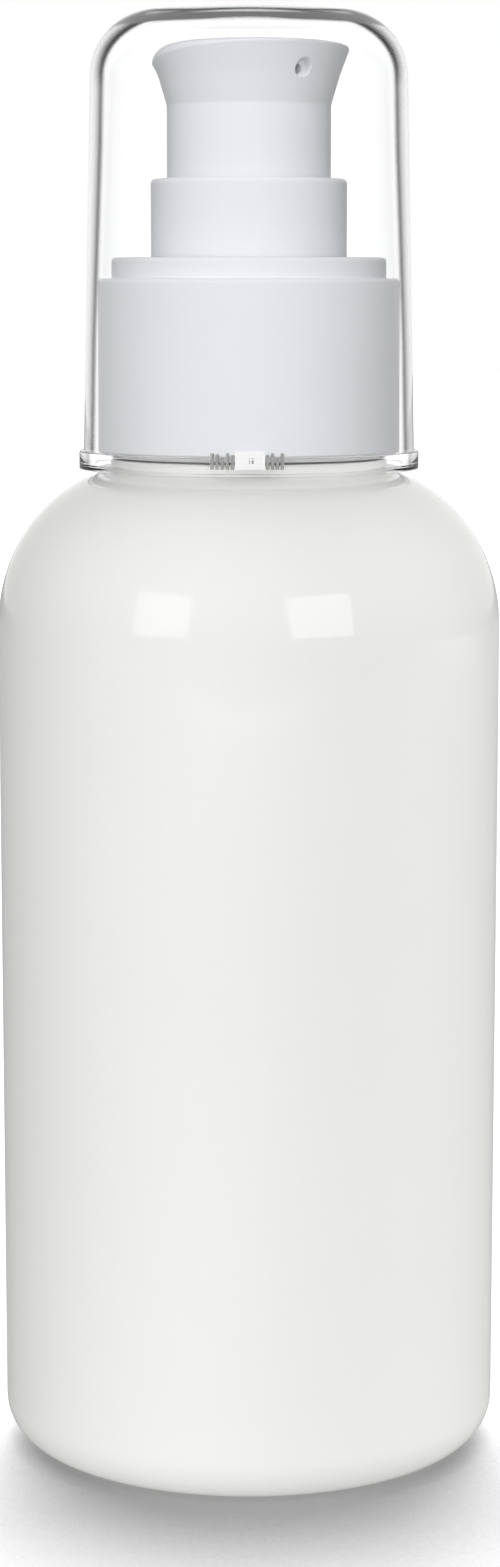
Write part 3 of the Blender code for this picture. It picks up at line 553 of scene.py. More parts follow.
# %% Guide collar
collar_low, collar_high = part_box("guide_collar")
COLLAR_RADIUS = collar_high[0]
COLLAR_BORE_RADIUS = 0.00785
COLLAR_SEAT_Z = collar_high[2] - 0.00812
COLLAR_PLUG_RADIUS = 0.0073
COLLAR_PLUG_BORE = COLLAR_PLUG_RADIUS - 0.00105
COLLAR_PLUG_Z = 0.10445
COLLAR_FLOOR_TOP = COLLAR_SEAT_Z + 0.0003
COLLAR_FLOOR_BOTTOM = COLLAR_FLOOR_TOP - 0.0015
STEM_GUIDE_BORE = 0.0033
STEM_GUIDE_RADIUS = STEM_GUIDE_BORE + 0.0010
guide_collar = turned("guide_collar_body", rounded([
    (COLLAR_BORE_RADIUS, collar_high[2], 0.0003),
    (COLLAR_RADIUS, collar_high[2], 0.00045),
    (COLLAR_RADIUS, COLLAR_SEAT_Z, 0.0001),
    (COLLAR_PLUG_RADIUS, COLLAR_SEAT_Z, 0.0001),
    (COLLAR_PLUG_RADIUS, COLLAR_PLUG_Z, 0.0002),
    (COLLAR_PLUG_BORE, COLLAR_PLUG_Z, 0.0002),
    (COLLAR_PLUG_BORE, COLLAR_FLOOR_BOTTOM, 0.0002),
    (STEM_GUIDE_RADIUS, COLLAR_FLOOR_BOTTOM, 0.0002),
    (STEM_GUIDE_RADIUS, collar_low[2], 0.0002),
    (STEM_GUIDE_BORE, collar_low[2], 0.0002),
    (STEM_GUIDE_BORE, COLLAR_FLOOR_TOP, 0.0002),
    (COLLAR_BORE_RADIUS, COLLAR_FLOOR_TOP, 0.0003),
]))
guide_collar.data.materials.append(PUMP_WHITE)
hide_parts("guide_collar")
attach(guide_collar, "pump")

# %% [markdown]
# The head isn't fully turned: its rim is high and tight over the nozzle and drops to a wide,
# soft edge at the back. So it is lofted: a section is worked out for each angle round the
# axis, with the rim's height, radius and roundness blended from front to back, and the
# sections are joined in rings. The hollow underside is part of the same skin.

# %% Actuator head
HEAD_BOTTOM_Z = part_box("actuator_head")[0][2]
HEAD_TOP_Z = HEAD_BOTTOM_Z + 0.0131
HEAD_NECK_RADIUS = 0.00755
HEAD_WALL = 0.0010
HEAD_FLARE_Z = HEAD_TOP_Z - 0.0056
HEAD_WAIST_Z = HEAD_TOP_Z - 0.0030
HEAD_WAIST_RADIUS = 0.00832
RIM_FRONT = {"radius": 0.00925, "drop": 0.0003, "run": 0.0007}
RIM_BACK = {"radius": 0.00870, "drop": 0.0026, "run": 0.0033}
HEAD_DISH_DEPTH = 0.0006
HEAD_DISH_STEPS = 13
HEAD_CEILING_Z = HEAD_TOP_Z - 0.0020
HEAD_SEGMENTS = 192
RIM_END_DEG = 6
RIM_STEPS = 12
RIM_BLEND_POWER = 1.5


def head_section(share):
    """The head's section at a share of the way from the nozzle to the back."""
    radius, drop, run = (RIM_FRONT[key] + (RIM_BACK[key] - RIM_FRONT[key]) * share
                         for key in ("radius", "drop", "run"))
    top_radius = radius - run
    dish_points = []
    for step in range(HEAD_DISH_STEPS):
        reach = step / HEAD_DISH_STEPS
        dish_points.append((top_radius * reach, HEAD_TOP_Z - HEAD_DISH_DEPTH * (1 - reach ** 2)))
    rim = arc((top_radius, HEAD_TOP_Z - drop), (run, drop), 90, RIM_END_DEG, RIM_STEPS)
    flare_and_hollow = rounded([
        rim[-1] + (0,),
        (radius, HEAD_TOP_Z - drop, 0.00015),
        (HEAD_WAIST_RADIUS, HEAD_WAIST_Z, 0.0030),
        (HEAD_NECK_RADIUS, HEAD_FLARE_Z, 0.0006),
        (HEAD_NECK_RADIUS, HEAD_BOTTOM_Z, 0.0002),
        (HEAD_NECK_RADIUS - HEAD_WALL, HEAD_BOTTOM_Z, 0.0002),
        (HEAD_NECK_RADIUS - HEAD_WALL, HEAD_FLARE_Z, 0.0004),
        (HEAD_WAIST_RADIUS - HEAD_WALL, HEAD_WAIST_Z, 0.0003),
        (HEAD_WAIST_RADIUS - HEAD_WALL, HEAD_CEILING_Z, 0.0003),
        (0, HEAD_CEILING_Z, 0),
    ], steps=4)
    return dish_points + rim[:-1] + flare_and_hollow


def lofted_head():
    """Join the sections round the axis; the first and last points lie on it."""
    shape = bmesh.new()
    columns = []
    for column in range(HEAD_SEGMENTS):
        angle = math.tau * column / HEAD_SEGMENTS
        section = head_section(((1 - math.cos(angle)) / 2) ** RIM_BLEND_POWER)
        columns.append([shape.verts.new((r * math.sin(angle), -r * math.cos(angle), z))
                        for r, z in section])
    for here, there in zip(columns, columns[1:] + columns[:1]):
        for row in range(len(here) - 1):
            shape.faces.new((here[row], there[row], there[row + 1], here[row + 1]))
    return finish_mesh(shape, "finger_head")


finger_head = lofted_head()

# %% [markdown]
# The nozzle is a shallow round recess with a smaller bore in its floor. Both are cut with one
# turned cutter that lies along the nozzle's axis, so its steps stay concentric. The cutter's
# mouth is a little wider, which leaves the soft edge of a moulded hole. A thicker duct behind
# the wall is joined on first, so that the bore has plastic round it.

# %% Nozzle
NOZZLE_Z = HEAD_TOP_Z - 0.0026
NOZZLE_RECESS_RADIUS = 0.00084
NOZZLE_BORE_RADIUS = 0.00045
NOZZLE_RECESS_FLOOR = 0.0075
NOZZLE_BORE_END = 0.0050
NOZZLE_OUT = 0.0110
NOZZLE_MOUTH = ((0.0006, NOZZLE_OUT), (0.00016, 0.0088), (0.00006, 0.0085), (0.00002, 0.0083))
NOZZLE_SEGMENTS = 48
DUCT_RADIUS = 0.0017
DUCT_OUT = 0.0078
DUCT_IN = 0.0036
nozzle_axis = Matrix.Translation((0, 0, NOZZLE_Z)) @ Matrix.Rotation(math.pi / 2, 4, "X")
nozzle_cutter = turned("nozzle_cutter", [
    (0, NOZZLE_OUT),
    *((NOZZLE_RECESS_RADIUS + wider, out) for wider, out in NOZZLE_MOUTH),
    (NOZZLE_RECESS_RADIUS, 0.0079),
    (NOZZLE_RECESS_RADIUS, NOZZLE_RECESS_FLOOR + 0.0002),
    (NOZZLE_RECESS_RADIUS - 0.0002, NOZZLE_RECESS_FLOOR),
    (NOZZLE_BORE_RADIUS + 0.00005, NOZZLE_RECESS_FLOOR),
    (NOZZLE_BORE_RADIUS, NOZZLE_RECESS_FLOOR - 0.00005),
    (NOZZLE_BORE_RADIUS, NOZZLE_BORE_END),
    (0, NOZZLE_BORE_END),
], NOZZLE_SEGMENTS)
nozzle_duct = turned("nozzle_duct", [
    (0, DUCT_OUT), (DUCT_RADIUS, DUCT_OUT), (DUCT_RADIUS, DUCT_IN), (0, DUCT_IN),
], NOZZLE_SEGMENTS)
for operation, tool in (("UNION", nozzle_duct), ("DIFFERENCE", nozzle_cutter)):
    tool.data.transform(nozzle_axis)
    modifier = finger_head.modifiers.new("nozzle", "BOOLEAN")
    modifier.operation = operation
    modifier.object = tool
    modifier.solver = "EXACT"
finger_head.data = settled(finger_head)
for tool in (nozzle_duct, nozzle_cutter):
    bpy.data.objects.remove(tool)
finger_head.data.set_sharp_from_angle(angle=math.radians(CRISP_DEG))
finger_head.data.materials.clear()
finger_head.data.materials.append(PUMP_WHITE)
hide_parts("actuator_head")
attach(finger_head, "actuator")

# %% Stem socket under the head
SOCKET_BORE = 0.0033
SOCKET_RADIUS = 0.0043
SOCKET_TOP_Z = HEAD_CEILING_Z - 0.00002
SOCKET_FOOT_Z = HEAD_BOTTOM_Z + 0.0006
SOCKET_SEGMENTS = 96
stem_socket = turned("stem_socket", rounded([
    (SOCKET_BORE, SOCKET_TOP_Z, 0),
    (SOCKET_RADIUS, SOCKET_TOP_Z, 0),
    (SOCKET_RADIUS, SOCKET_FOOT_Z, 0.0002),
    (SOCKET_BORE, SOCKET_FOOT_Z, 0.0003),
]), SOCKET_SEGMENTS)
stem_socket.data.materials.append(PUMP_WHITE)
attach(stem_socket, "actuator")

# %% [markdown]
# The cap is a thin clear shell: a domed top, a wall that widens slightly downwards and a small
# flange at its hem. It is modelled as a real wall with two skins, seen edge on at its sides and
# corners, where the dark lines are painted shade in its material. Below the closure's step it
# grips the skirt, so the inner skin steps inwards there.

# %% Overcap
cap_low, cap_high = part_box("overcap")
CAP_TOP_Z = cap_high[2]
CAP_HEM_Z = cap_low[2]
FLANGE_RADIUS = cap_high[0]
FLANGE_OUT = 0.0004
FLANGE_TOP_Z = CAP_HEM_Z + 0.0017
CAP_HEM_RADIUS = FLANGE_RADIUS - FLANGE_OUT
FLANGE_BORE = CAP_HEM_RADIUS - 0.00105
CAP_WALL = 0.0011
CAP_TOP_WALL = 0.0009
CAP_TAPER = 0.0008
CAP_TOP_RADIUS = CAP_HEM_RADIUS - CAP_TAPER
CAP_EDGE_RADIUS = 0.0060
CAP_DOME_START_DEG = 79
CAP_CEILING_START_DEG = 76
CAP_SEGMENTS = 192
DOME_STEPS = 12
CAP_EDGE_STEPS = 20
GRIP_RADIUS = CLOSURE_RADIUS + 0.0002


def domed_top(wall_radius, edge_radius, top_z, start_deg):
    """A shallow dome from the axis that runs smoothly into a rounded edge, down to the wall."""
    start = math.radians(start_deg)
    centre_r = wall_radius - edge_radius
    dome_radius = centre_r + edge_radius * math.cos(start)
    rise = dome_radius / math.tan(start) / 2
    centre = (centre_r, top_z - rise - edge_radius * math.sin(start))
    points = [(dome_radius * step / DOME_STEPS, top_z - rise * (step / DOME_STEPS) ** 2)
              for step in range(DOME_STEPS)]
    return points + arc(centre, (edge_radius, edge_radius), start_deg, 0, CAP_EDGE_STEPS)


cap_hem = rounded([
    (CAP_HEM_RADIUS, FLANGE_TOP_Z, 0.0001),
    (FLANGE_RADIUS, FLANGE_TOP_Z, 0.00012),
    (FLANGE_RADIUS, CAP_HEM_Z, 0.00012),
    (FLANGE_BORE, CAP_HEM_Z, 0.00015),
], steps=3)
cap_outline = domed_top(CAP_TOP_RADIUS, CAP_EDGE_RADIUS, CAP_TOP_Z, CAP_DOME_START_DEG)
cap_outline += cap_hem[1:]
cap_outline += [(FLANGE_BORE, closure_low[2]), (GRIP_RADIUS, CLOSURE_SHOULDER_Z)]
cap_outline += reversed(domed_top(CAP_TOP_RADIUS - CAP_WALL, CAP_EDGE_RADIUS - CAP_WALL,
                                  CAP_TOP_Z - CAP_TOP_WALL, CAP_CEILING_START_DEG))
overcap = turned("clear_cap", cap_outline, CAP_SEGMENTS)
overcap.data.set_sharp_from_angle(angle=math.radians(CRISP_DEG))

# %% [markdown]
# The plastic entered the mould at the flange. The mark of that gate is a small stub, and it
# stands in a patch with a matt skin, between two rows of short ribs that help the cap hold on
# its closure. A ridge so small could be cut into the turned shell, but blocks that lie on the
# flange's bore give the same look and leave the clear wall's skin clean.

# %% Gate mark and ribs in the flange
GATE_TURN_DEG = -125
RIB_THICKNESS = 0.00022
RIB_WIDTH = 0.00026
RIB_TOP = 0.00205
RIB_FOOT = 0.00060
RIB_ROWS = (  # where the row starts, the step from rib to rib, and how high each rib is
    (-0.00328, 0.00046, (1, 0.95, 0.55, 1, 0.9)),
    (0.00165, 0.00044, (0.9, 1, 0.6, 1)),
)
WINDOW_START = -0.00122
WINDOW_STEP = 0.000265
WINDOW_SEGMENTS = 10
WINDOW_TOP = 0.00225
WINDOW_MERGE_DISTANCE = 0.00002
GATE_ACROSS = 0.00022
GATE_FOOT = 0.00107
GATE_TOP = 0.00149
GATE_WIDTH = 0.00054
GATE_BEVEL = 0.00006
BLOCK_SHARP_DEG = 30
# The ribs and the gate stub are clear on the cap itself; their dark grey is painted shade, where
# light is thrown aside in them.
CAP_RIBS_PAINTED_SHADE = moulded("cap_ribs_painted_shade", (0.29, 0.29, 0.28), (0.39, 0.39, 0.375), (0.3, 0.5),
                     5200, 0.3, 1400)
CAP_FROSTED = moulded("cap_frosted", (0.95, 0.95, 0.95), (0.92, 0.92, 0.92), (0.3, 0.4),
                      5200, 0.1, 500)
gate_facing = Matrix.Rotation(math.radians(GATE_TURN_DEG), 4, "Z")


def inside_flange(shape, across, low, high, width, thickness=RIB_THICKNESS):
    """A small block on the flange's bore; across is its distance along the bore from the gate."""
    turn = Matrix.Rotation(across / FLANGE_BORE, 4, "Z")
    middle = Matrix.Translation((FLANGE_BORE - thickness / 2, 0, CAP_HEM_Z + (low + high) / 2))
    size = Matrix.Diagonal((thickness, width, high - low, 1))
    bmesh.ops.create_cube(shape, size=1, matrix=gate_facing @ turn @ middle @ size)


def on_cap(shape, name, material):
    """Finish a small piece that is moulded with the cap."""
    piece = finish_mesh(shape, name, BLOCK_SHARP_DEG)
    piece.data.materials.append(material)
    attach(piece, "overcap")


rib_shape = bmesh.new()
for first, pitch, heights in RIB_ROWS:
    for place, height in enumerate(heights):
        inside_flange(rib_shape, first + pitch * place, RIB_FOOT,
                      RIB_FOOT + (RIB_TOP - RIB_FOOT) * height, RIB_WIDTH)
on_cap(rib_shape, "gate_ribs", CAP_RIBS_PAINTED_SHADE)
window_shape = bmesh.new()
for place in range(WINDOW_SEGMENTS):
    inside_flange(window_shape, WINDOW_START + WINDOW_STEP * (place + 0.5), RIB_FOOT, WINDOW_TOP,
                  WINDOW_STEP, RIB_THICKNESS / 2)
bmesh.ops.remove_doubles(window_shape, verts=window_shape.verts, dist=WINDOW_MERGE_DISTANCE)
on_cap(window_shape, "gate_window", CAP_FROSTED)
gate_shape = bmesh.new()
inside_flange(gate_shape, GATE_ACROSS, GATE_FOOT, GATE_TOP, GATE_WIDTH)
bmesh.ops.bevel(gate_shape, geom=gate_shape.edges[:], offset=GATE_BEVEL, segments=2,
                affect="EDGES")
on_cap(gate_shape, "gate_stub", CAP_RIBS_PAINTED_SHADE)

# %% [markdown]
# Clear plastic is glass to the renderer, with three adjustments. Lamps must reach the pump
# through it, so shadow rays meet a nearly clear surface instead. In front of a white card, a
# real wall shows grey lines where it is seen edge on, because light is thrown aside inside it.
# That happens beyond one angle to the wall, sharply, and eases off towards the very edge, so a
# ramp over the facing angle paints that shade into the colour of the first skin that a view
# meets. The painted line lies closer to the edge where the wall is thin, round the closure, so
# the ramp shifts with height. Where the dome turns into the wall, light is thrown aside in a
# whole band at one height, except for a view from above. So the painted line is darkened by
# height in a band below the top, and paled again just under the top and on the flange. A
# near-black line is also painted across the roof, where the wall is seen obliquely. And a
# moulded wall is never optically flat, which a very faint ripple shows.

# %% Clear plastic
CAP_IOR = 1.33
# Painted edge shade: each pair gives a facing and the painted level of the wall's colour there.
PAINTED_EDGE_LINE = (  # how far the wall faces away, and how much light comes through
    (0.552, 0.99), (0.572, 0.90), (0.600, 0.27), (0.622, 0.045), (0.640, 0.045),
    (0.658, 0.10), (0.687, 0.28), (0.745, 0.57), (0.820, 0.92), (1.0, 1.0),
)
EDGE_TINT = (1, 1.002, 1.006)
THICK_WALL_Z = closure_low[2] + 0.0275
THIN_WALL_Z = closure_low[2] + 0.0098
THIN_WALL_SHIFT = 0.055
ROOF_PAINTED_SHADE_Z = (CAP_TOP_Z - 0.0080, CAP_TOP_Z - 0.0040)
ROOF_PAINTED_SHADE_DEPTH = 2.4
ROOF_PAINTED_LIGHT_Z = (CAP_TOP_Z - 0.00170, CAP_TOP_Z - 0.00125)
ROOF_PAINTED_LIGHT_DEPTH = 0.15
FLANGE_PAINTED_LIGHT_Z = (FLANGE_TOP_Z, FLANGE_TOP_Z + 0.0003)
FLANGE_PAINTED_LIGHT_DEPTH = 0.4
ROOF_PAINTED_LINE_START_Z = (CAP_TOP_Z - 0.00262, CAP_TOP_Z - 0.00238)
ROOF_PAINTED_LINE_END_Z = (CAP_TOP_Z - 0.00180, CAP_TOP_Z - 0.00145)
ROOF_PAINTED_LINE_FACING = (0.33, 0.42)
ROOF_PAINTED_LINE_COLOUR = (0.028, 0.028, 0.029, 1)
LATER_SKIN_COLOUR = (0.992, 0.994, 0.998, 1)
SHADOW_COLOUR = (0.99, 0.99, 0.995, 1)
RIPPLE_SCALE = 140
RIPPLE_STRENGTH = 0.02
RIPPLE_HEIGHT = 0.00005


def clear_plastic():
    """A clear wall with painted grey lines where it is seen edge on, and painted bands by height.
    """
    material, tree, surface = new_material("cap_clear")
    place = own_place(tree)
    high = add_node(tree, "ShaderNodeSeparateXYZ", {"Vector": place}).outputs["Z"]
    facing = add_node(tree, "ShaderNodeLayerWeight", {"Blend": 0.5}).outputs["Facing"]
    thin_wall = mapped(tree, high, THIN_WALL_Z, THICK_WALL_Z, THIN_WALL_SHIFT, 0.0)
    # The painted edge shade: a ramp over the facing angle sets the colour of the first skin.
    line = add_node(tree, "ShaderNodeValToRGB", {
        "Fac": maths(tree, "SUBTRACT", facing, thin_wall)})
    stops = line.color_ramp.elements
    stops[0].position, stops[1].position = PAINTED_EDGE_LINE[0][0], PAINTED_EDGE_LINE[-1][0]
    for position, _ in PAINTED_EDGE_LINE[1:-1]:
        stops.new(position)
    for stop, (_, level) in zip(stops, PAINTED_EDGE_LINE):
        stop.color = (*(level * share for share in EDGE_TINT), 1)
    # Painted shade and light by height: the edge line is darker in a band below the dome, paler at
    # the very top and on the flange.
    painted_band_gamma = product(tree, mapped(tree, high, *ROOF_PAINTED_SHADE_Z, 1.0, ROOF_PAINTED_SHADE_DEPTH),
                    mapped(tree, high, *ROOF_PAINTED_LIGHT_Z, 1.0, ROOF_PAINTED_LIGHT_DEPTH),
                    mapped(tree, high, *FLANGE_PAINTED_LIGHT_Z, FLANGE_PAINTED_LIGHT_DEPTH, 1.0))
    edge = add_node(tree, "ShaderNodeGamma", {"Color": line.outputs["Color"], "Gamma": painted_band_gamma})
    # A painted near-black line across the roof, where the wall is seen obliquely.
    in_painted_roof_line = product(tree, mapped(tree, high, *ROOF_PAINTED_LINE_START_Z),
                           mapped(tree, high, *ROOF_PAINTED_LINE_END_Z, 1.0, 0.0),
                           mapped(tree, facing, *ROOF_PAINTED_LINE_FACING))
    first_skin_painted_lines = mixed(tree, in_painted_roof_line, edge.outputs["Color"], ROOF_PAINTED_LINE_COLOUR)
    rays = tree.nodes.new("ShaderNodeLightPath").outputs
    on_first_skin = maths(tree, "LESS_THAN", rays["Transmission Depth"], 0.5)
    ripple = noise(tree, place, RIPPLE_SCALE, 1)
    feed(tree, surface, {
        "Transmission Weight": 1.0, "IOR": CAP_IOR, "Roughness": 0.0,
        "Base Color": mixed(tree, on_first_skin, LATER_SKIN_COLOUR, first_skin_painted_lines),
        "Normal": relief(tree, ripple, RIPPLE_STRENGTH, RIPPLE_HEIGHT)})
    open_to_lamps = add_node(tree, "ShaderNodeBsdfTransparent", {"Color": SHADOW_COLOUR})
    skin = add_node(tree, "ShaderNodeMixShader", {
        0: rays["Is Shadow Ray"], 1: surface.outputs["BSDF"], 2: open_to_lamps.outputs["BSDF"]})
    feed(tree, tree.nodes["Material Output"], {"Surface": skin.outputs["Shader"]})
    return material


overcap.data.materials.append(clear_plastic())
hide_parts("overcap")
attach(overcap, "overcap")

# %% [markdown]
# The spring is the coil tree again, with many turns and no taper to speak of. It shortens as
# the head is pressed.

# %% Return spring
STREAK_SCALE = 2500
DARK_STREAK = (0.42, 0.42, 0.43, 1)
BRIGHT_STREAK = (0.66, 0.66, 0.67, 1)
STREAK_ROUGHNESS = (0.18, 0.34)


def spring_steel():
    """Bright drawn wire with fine streaks."""
    material, tree, surface = new_material("spring_wire")
    streaks = noise(tree, own_place(tree), STREAK_SCALE)
    tone = add_node(tree, "ShaderNodeValToRGB", {"Fac": streaks})
    tone.color_ramp.elements[0].color = DARK_STREAK
    tone.color_ramp.elements[1].color = BRIGHT_STREAK
    feed(tree, surface, {"Metallic": 1.0, "Base Color": tone.outputs["Color"],
                         "Roughness": mapped(tree, streaks, 0, 1, *STREAK_ROUGHNESS)})
    return material


spring_low, spring_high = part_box("return_spring")
SPRING_WIRE_RADIUS = 0.0003
SPRING_MEAN_RADIUS = 0.0032
SPRING_END_GAP = 0.00005
SPRING_TURNS = 8.0
spring_start = spring_low[2] + SPRING_WIRE_RADIUS + SPRING_END_GAP
spring_rise = spring_high[2] - SPRING_WIRE_RADIUS - SPRING_END_GAP - spring_start
spring_coil = coil("spring_coil", spring_steel(), radius=SPRING_MEAN_RADIUS, turns=SPRING_TURNS,
                   rise=spring_rise, start_height=spring_start, wire_radius=SPRING_WIRE_RADIUS,
                   taper_share=0.002, steps_per_turn=40)
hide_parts("return_spring")
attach(spring_coil, "pump")
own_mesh(spring_coil)

# %% [markdown]
# The pieces inside the bottle keep their construction meshes, because their shape is right.
# They only get their finish: milky natural plastic, a soft liner, a waxy piston, a translucent
# tube and a glass ball.

# %% Inner pieces
BALL_GLASS = moulded("ball_glass", (0.93, 0.97, 0.96), (0.88, 0.94, 0.93), (0.02, 0.05),
                     3000, 0.01, 400, Transmission_Weight=1.0, IOR=1.52)
INNER_FINISH = {
    "housing": NATURAL_WHITE,
    "stem": NATURAL_WHITE,
    "plunger_rod": NATURAL_WHITE,
    "ball_cage": NATURAL_WHITE,
    "gasket": FOAM_WHITE,
    "piston": PISTON_WHITE,
    "dip_tube": TUBE_MILKY,
    "inlet_ball": BALL_GLASS,
}
for node_name, finish in INNER_FINISH.items():
    node_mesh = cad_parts[node_name].data
    node_mesh.materials.clear()
    node_mesh.materials.append(finish)
print("finished inner pieces:", ", ".join(INNER_FINISH))

# %% [markdown]
# The setting is a white card behind and a pale table. The card is white near its middle and
# falls off to the sides and upwards. Both the room and the table need that fall, so it is a
# small node group: it takes a direction and gives a level. Other helpers tell two kinds of
# rays from the rest by what they have already met: a view through clear plastic, and what a
# piece behind clear plastic mirrors.

# %% Card light group
ROOM_LIGHT = (35, 70, 0.23)  # white within degrees, dark beyond degrees, and how dark
ROOM_MIRRORED = (12, 60, 0.30)
ROOM_GLEAM = (19, 31, 0.10)
ROOM_THROUGH = 1.12


def card_group():
    """A level that falls as a direction turns away from the middle of the card behind."""
    tree, given = new_group("card_light", "ShaderNodeTree", [
        ("Vector", "Vector"), ("White Within", "Float", 0.1), ("Dark Beyond", "Float", 0.6),
        ("Dark", "Float", 0.2),
    ], [("Level", "Float")])
    unit = vector_maths(tree, "NORMALIZE", given["Vector"])["Vector"]
    towards = vector_maths(tree, "DOT_PRODUCT", unit, away)["Value"]
    add_node(tree, "NodeGroupOutput", {
        "Level": mapped(tree, maths(tree, "ARCCOSINE", towards), given["White Within"],
                        given["Dark Beyond"], 1.0, given["Dark"])})
    return tree


CARD_LIGHT = card_group()


def card_level(tree, vector, within_deg, beyond_deg, dark):
    """Place the group in a tree; it is white within one angle from the card's middle."""
    return use_group(tree, CARD_LIGHT, {
        "Vector": vector, "White Within": math.radians(within_deg),
        "Dark Beyond": math.radians(beyond_deg), "Dark": dark})["Level"]


def clear_view(tree, rays):
    """One for a view through clear plastic, zero for light on its way to a surface behind it."""
    return product(tree, maths(tree, "LESS_THAN", rays["Diffuse Depth"], 0.5),
                   maths(tree, "GREATER_THAN", rays["Is Transmission Ray"], 0.5))


def gleam(tree, rays):
    """One for what a piece behind clear plastic mirrors: the view goes in, turns back and out."""
    return product(tree, maths(tree, "LESS_THAN", rays["Diffuse Depth"], 0.5),
                   maths(tree, "GREATER_THAN", rays["Glossy Depth"], 0.5),
                   maths(tree, "GREATER_THAN", rays["Transmission Depth"], 2.5))


def switched(tree, kind_of_ray, otherwise, level):
    """Swap in another level for one kind of ray."""
    inputs = {"Factor": kind_of_ray, "A": otherwise, "B": level}
    return add_node(tree, "ShaderNodeMix", inputs).outputs["Result"]


# %% [markdown]
# The table stays white to the camera, except for a painted shadow round the bottle. The
# painted shadow lies in front of the base, as if most of the light on the table came from
# high up behind. How much of that light the bottle would hide from a spot is what an ambient
# occlusion node measures, once its normal leans back towards the card. Its answer sets how
# brightly the table glows, and the lamps' own soft shadows are kept on top of it. What gloss
# mirrors is a level of its own, and the light that the table throws back up is a painted
# glow, brighter near the bottle.

# %% Floor
FLOOR_SIZE = 3.0
FLOOR_GAP = 0.0001
FLOOR_COLOUR = (0.20, 0.20, 0.20, 1)
FLOOR_WHITE = 1.1
FLOOR_MIRRORED = 0.3
BOUNCE_NEAR = 0.45
BOUNCE_FAR = 0.15
BOUNCE_REACH = 0.20
SHADE_REACH = 0.08
SHADE_LEAN_DEG = 75
SHADE_SAMPLES = 12
SHADE_FULL = 0.44
SHADE_DEEPEST = 0.14
SHADE_STEEPNESS = 8.4
floor_mesh = bpy.data.meshes.new("floor")
floor_shape = bmesh.new()
bmesh.ops.create_grid(floor_shape, x_segments=1, y_segments=1, size=FLOOR_SIZE)
floor_shape.to_mesh(floor_mesh)
floor_shape.free()
floor_mesh.transform(Matrix.Translation((0, 0, bottle_low[2] - FLOOR_GAP)))
floor = add_object("floor", floor_mesh)
floor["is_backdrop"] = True
floor_material, floor_tree, floor_surface = new_material("floor_white")
floor_mesh.materials.append(floor_material)
floor_rays = floor_tree.nodes.new("ShaderNodeLightPath").outputs
floor_place = own_place(floor_tree)
lean = math.radians(SHADE_LEAN_DEG)
leaning = vector_maths(floor_tree, "ADD", away * math.sin(lean), (0, 0, math.cos(lean)))
# The bottle's shadow on the table is painted: ambient occlusion sets how brightly the table glows.
shade = add_node(floor_tree, "ShaderNodeAmbientOcclusion", {
    "Normal": leaning["Vector"], "Distance": SHADE_REACH})
shade.samples = SHADE_SAMPLES
painted_shadow_tone = shade.outputs["AO"]
for operation, *values in (("SUBTRACT", SHADE_FULL), ("POWER", 2),
                           ("MULTIPLY_ADD", SHADE_STEEPNESS, SHADE_DEEPEST),
                           ("MINIMUM", FLOOR_WHITE)):
    painted_shadow_tone = maths(floor_tree, operation, painted_shadow_tone, *values)
from_axis = vector_maths(floor_tree, "LENGTH", floor_place)["Value"]
# Light thrown back up by the table is a painted glow, brighter near the bottle.
table_painted_glow = mapped(floor_tree, from_axis, 0, BOUNCE_REACH, BOUNCE_NEAR, BOUNCE_FAR)
for kind_of_ray, level in (
        (floor_rays["Is Camera Ray"], painted_shadow_tone),
        (floor_rays["Is Glossy Ray"], FLOOR_MIRRORED),
        (clear_view(floor_tree, floor_rays), painted_shadow_tone),
        (gleam(floor_tree, floor_rays), card_level(floor_tree, floor_place, *ROOM_GLEAM))):
    table_painted_glow = switched(floor_tree, kind_of_ray, table_painted_glow, level)
feed(floor_tree, floor_surface, {
    "Base Color": FLOOR_COLOUR, "Roughness": 0.9, "Specular IOR Level": 0.0,
    "Emission Color": (1, 1, 1, 1), "Emission Strength": table_painted_glow})
print("floor at", round(floor_mesh.vertices[0].co.z, 5))

# %% [markdown]
# The world can answer each kind of ray in its own way. The camera sees plain white, and so does
# a ray that went through clear plastic, from whichever side it comes. The plastics are lit by a
# soft level that is highest behind, and they mirror a card that is white near its middle only.
# Under the clear cap that mirrored card is narrower still, which keeps the pump's satin dark
# beside its lit parts.

# %% Room light
world = bpy.data.worlds.new("room")
bpy.context.scene.world = world
world.use_nodes = True
room_tree = world.node_tree
room_place = room_tree.nodes.new("ShaderNodeTexCoord").outputs["Generated"]
room_rays = room_tree.nodes.new("ShaderNodeLightPath").outputs
room = card_level(room_tree, room_place, *ROOM_LIGHT)
for kind_of_ray, level in (
        (room_rays["Is Glossy Ray"], card_level(room_tree, room_place, *ROOM_MIRRORED)),
        (clear_view(room_tree, room_rays), ROOM_THROUGH),
        (gleam(room_tree, room_rays), card_level(room_tree, room_place, *ROOM_GLEAM)),
        (room_rays["Is Camera Ray"], 1.0)):
    room = switched(room_tree, kind_of_ray, room, level)
feed(room_tree, room_tree.nodes["Background"], {"Color": (1, 1, 1, 1), "Strength": room})
print("the room's light has", len(room_tree.nodes), "nodes")

# %% [markdown]
# Two upright softboxes stand in front, left and right of the camera. Their reflections are the
# two pale rectangles on the shoulder, so their places follow from those marks: a highlight's
# angle round the bottle is half the lamp's angle round the room. They are linked to the bottle,
# whose gloss they draw, and large sheets of light without a reflection do the lighting. The
# sheets skip the sampling that is meant for mirrors, so that the clear cap doesn't dim them.
# The satin pump takes less light than the glossy bottle, so five sheets leave it out, two of
# its own stand in front of it, and one at the back lights everything.

# %% Lamps
AIM_HEIGHT = 0.08


def lit(name, pieces, state="INCLUDE"):
    """A set of pieces that a lamp is linked to, or that it leaves out."""
    chosen = bpy.data.collections.new(name)
    for piece in pieces:
        chosen.objects.link(piece)
    for entry in chosen.collection_objects:
        entry.light_linking.link_state = state
    return chosen


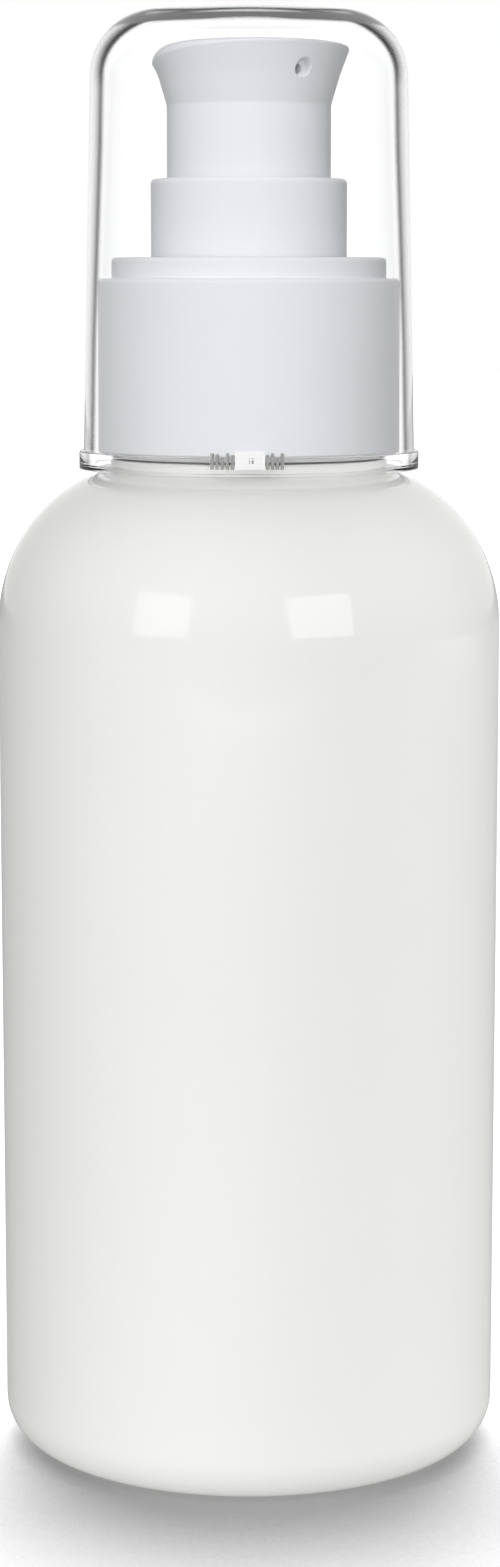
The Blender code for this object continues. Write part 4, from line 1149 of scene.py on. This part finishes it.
def area_lamp(name, side_deg, elevation_deg, distance, width, height, power, receivers):
    """An area lamp aimed at the bottle; side angle counts from the camera, to its right."""
    lamp = bpy.data.lights.new(name, "AREA")
    lamp.shape = "RECTANGLE"
    lamp.size = width
    lamp.size_y = height
    lamp.energy = power
    side = math.radians(side_deg)
    rise = math.radians(elevation_deg)
    level_way = -away * math.cos(side) + rightward * math.sin(side)
    way = level_way * math.cos(rise) + Vector((0, 0, math.sin(rise)))
    holder = add_object(name, lamp)
    holder.location = Vector((0, 0, AIM_HEIGHT)) + way * distance
    holder.rotation_euler = way.to_track_quat("Z", "Y").to_euler()
    holder.visible_transmission = False
    holder.light_linking.receiver_collection = receivers
    return holder


pump_pieces = (finger_head, stem_socket, guide_collar, closure_ring)
bottle_only = lit("bottle_only", [bottle_body])
pump_only = lit("pump_only", pump_pieces)
all_but_pump = lit("all_but_pump", pump_pieces, "EXCLUDE")
SHEETS = (  # name, side, elevation, distance, width, height, power, and what it lights
    ("left_sheet", -64, 5, 1.0, 0.5, 0.16, 1.9, all_but_pump),
    ("right_sheet", 106, 5, 1.0, 0.5, 0.16, 4.6, all_but_pump),
    ("high_sheet", 3, 45, 1.2, 0.4, 0.3, 3.5, all_but_pump),
    ("top_sheet", 0, 77, 1.1, 0.2, 0.2, 1.9, all_but_pump),
    ("low_sheet", 0, -1, 0.7, 0.7, 0.12, 2.3, all_but_pump),
    ("pump_sheet", -9, 42, 1.1, 0.5, 0.4, 6.4, pump_only),
    ("pump_low_sheet", -4, 8, 1.0, 0.3, 0.3, 3.0, pump_only),
    ("back_sheet", 180, 15, 1.0, 0.5, 0.3, 4.0, None),
)
SOFTBOXES = (
    ("softbox_left", -40, 14, 1.0, 0.46, 0.46, 1.3, bottle_only),
    ("softbox_right", 33, 14, 1.0, 0.52, 0.46, 1.7, bottle_only),
)
for row in SHEETS:
    sheet = area_lamp(*row)
    sheet.visible_glossy = False
    sheet.data.cycles.use_multiple_importance_sampling = False
for row in SOFTBOXES:
    area_lamp(*row).visible_diffuse = False
print("lamps:", [row[0] for row in SHEETS + SOFTBOXES])

# %% Finish
bpy.context.scene.view_settings.view_transform = "Standard"
visual_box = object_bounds()
for label, box in (("CAD", cad_box), ("visual", visual_box)):
    print(label, "box:", [[round(value, 4) for value in corner] for corner in box])
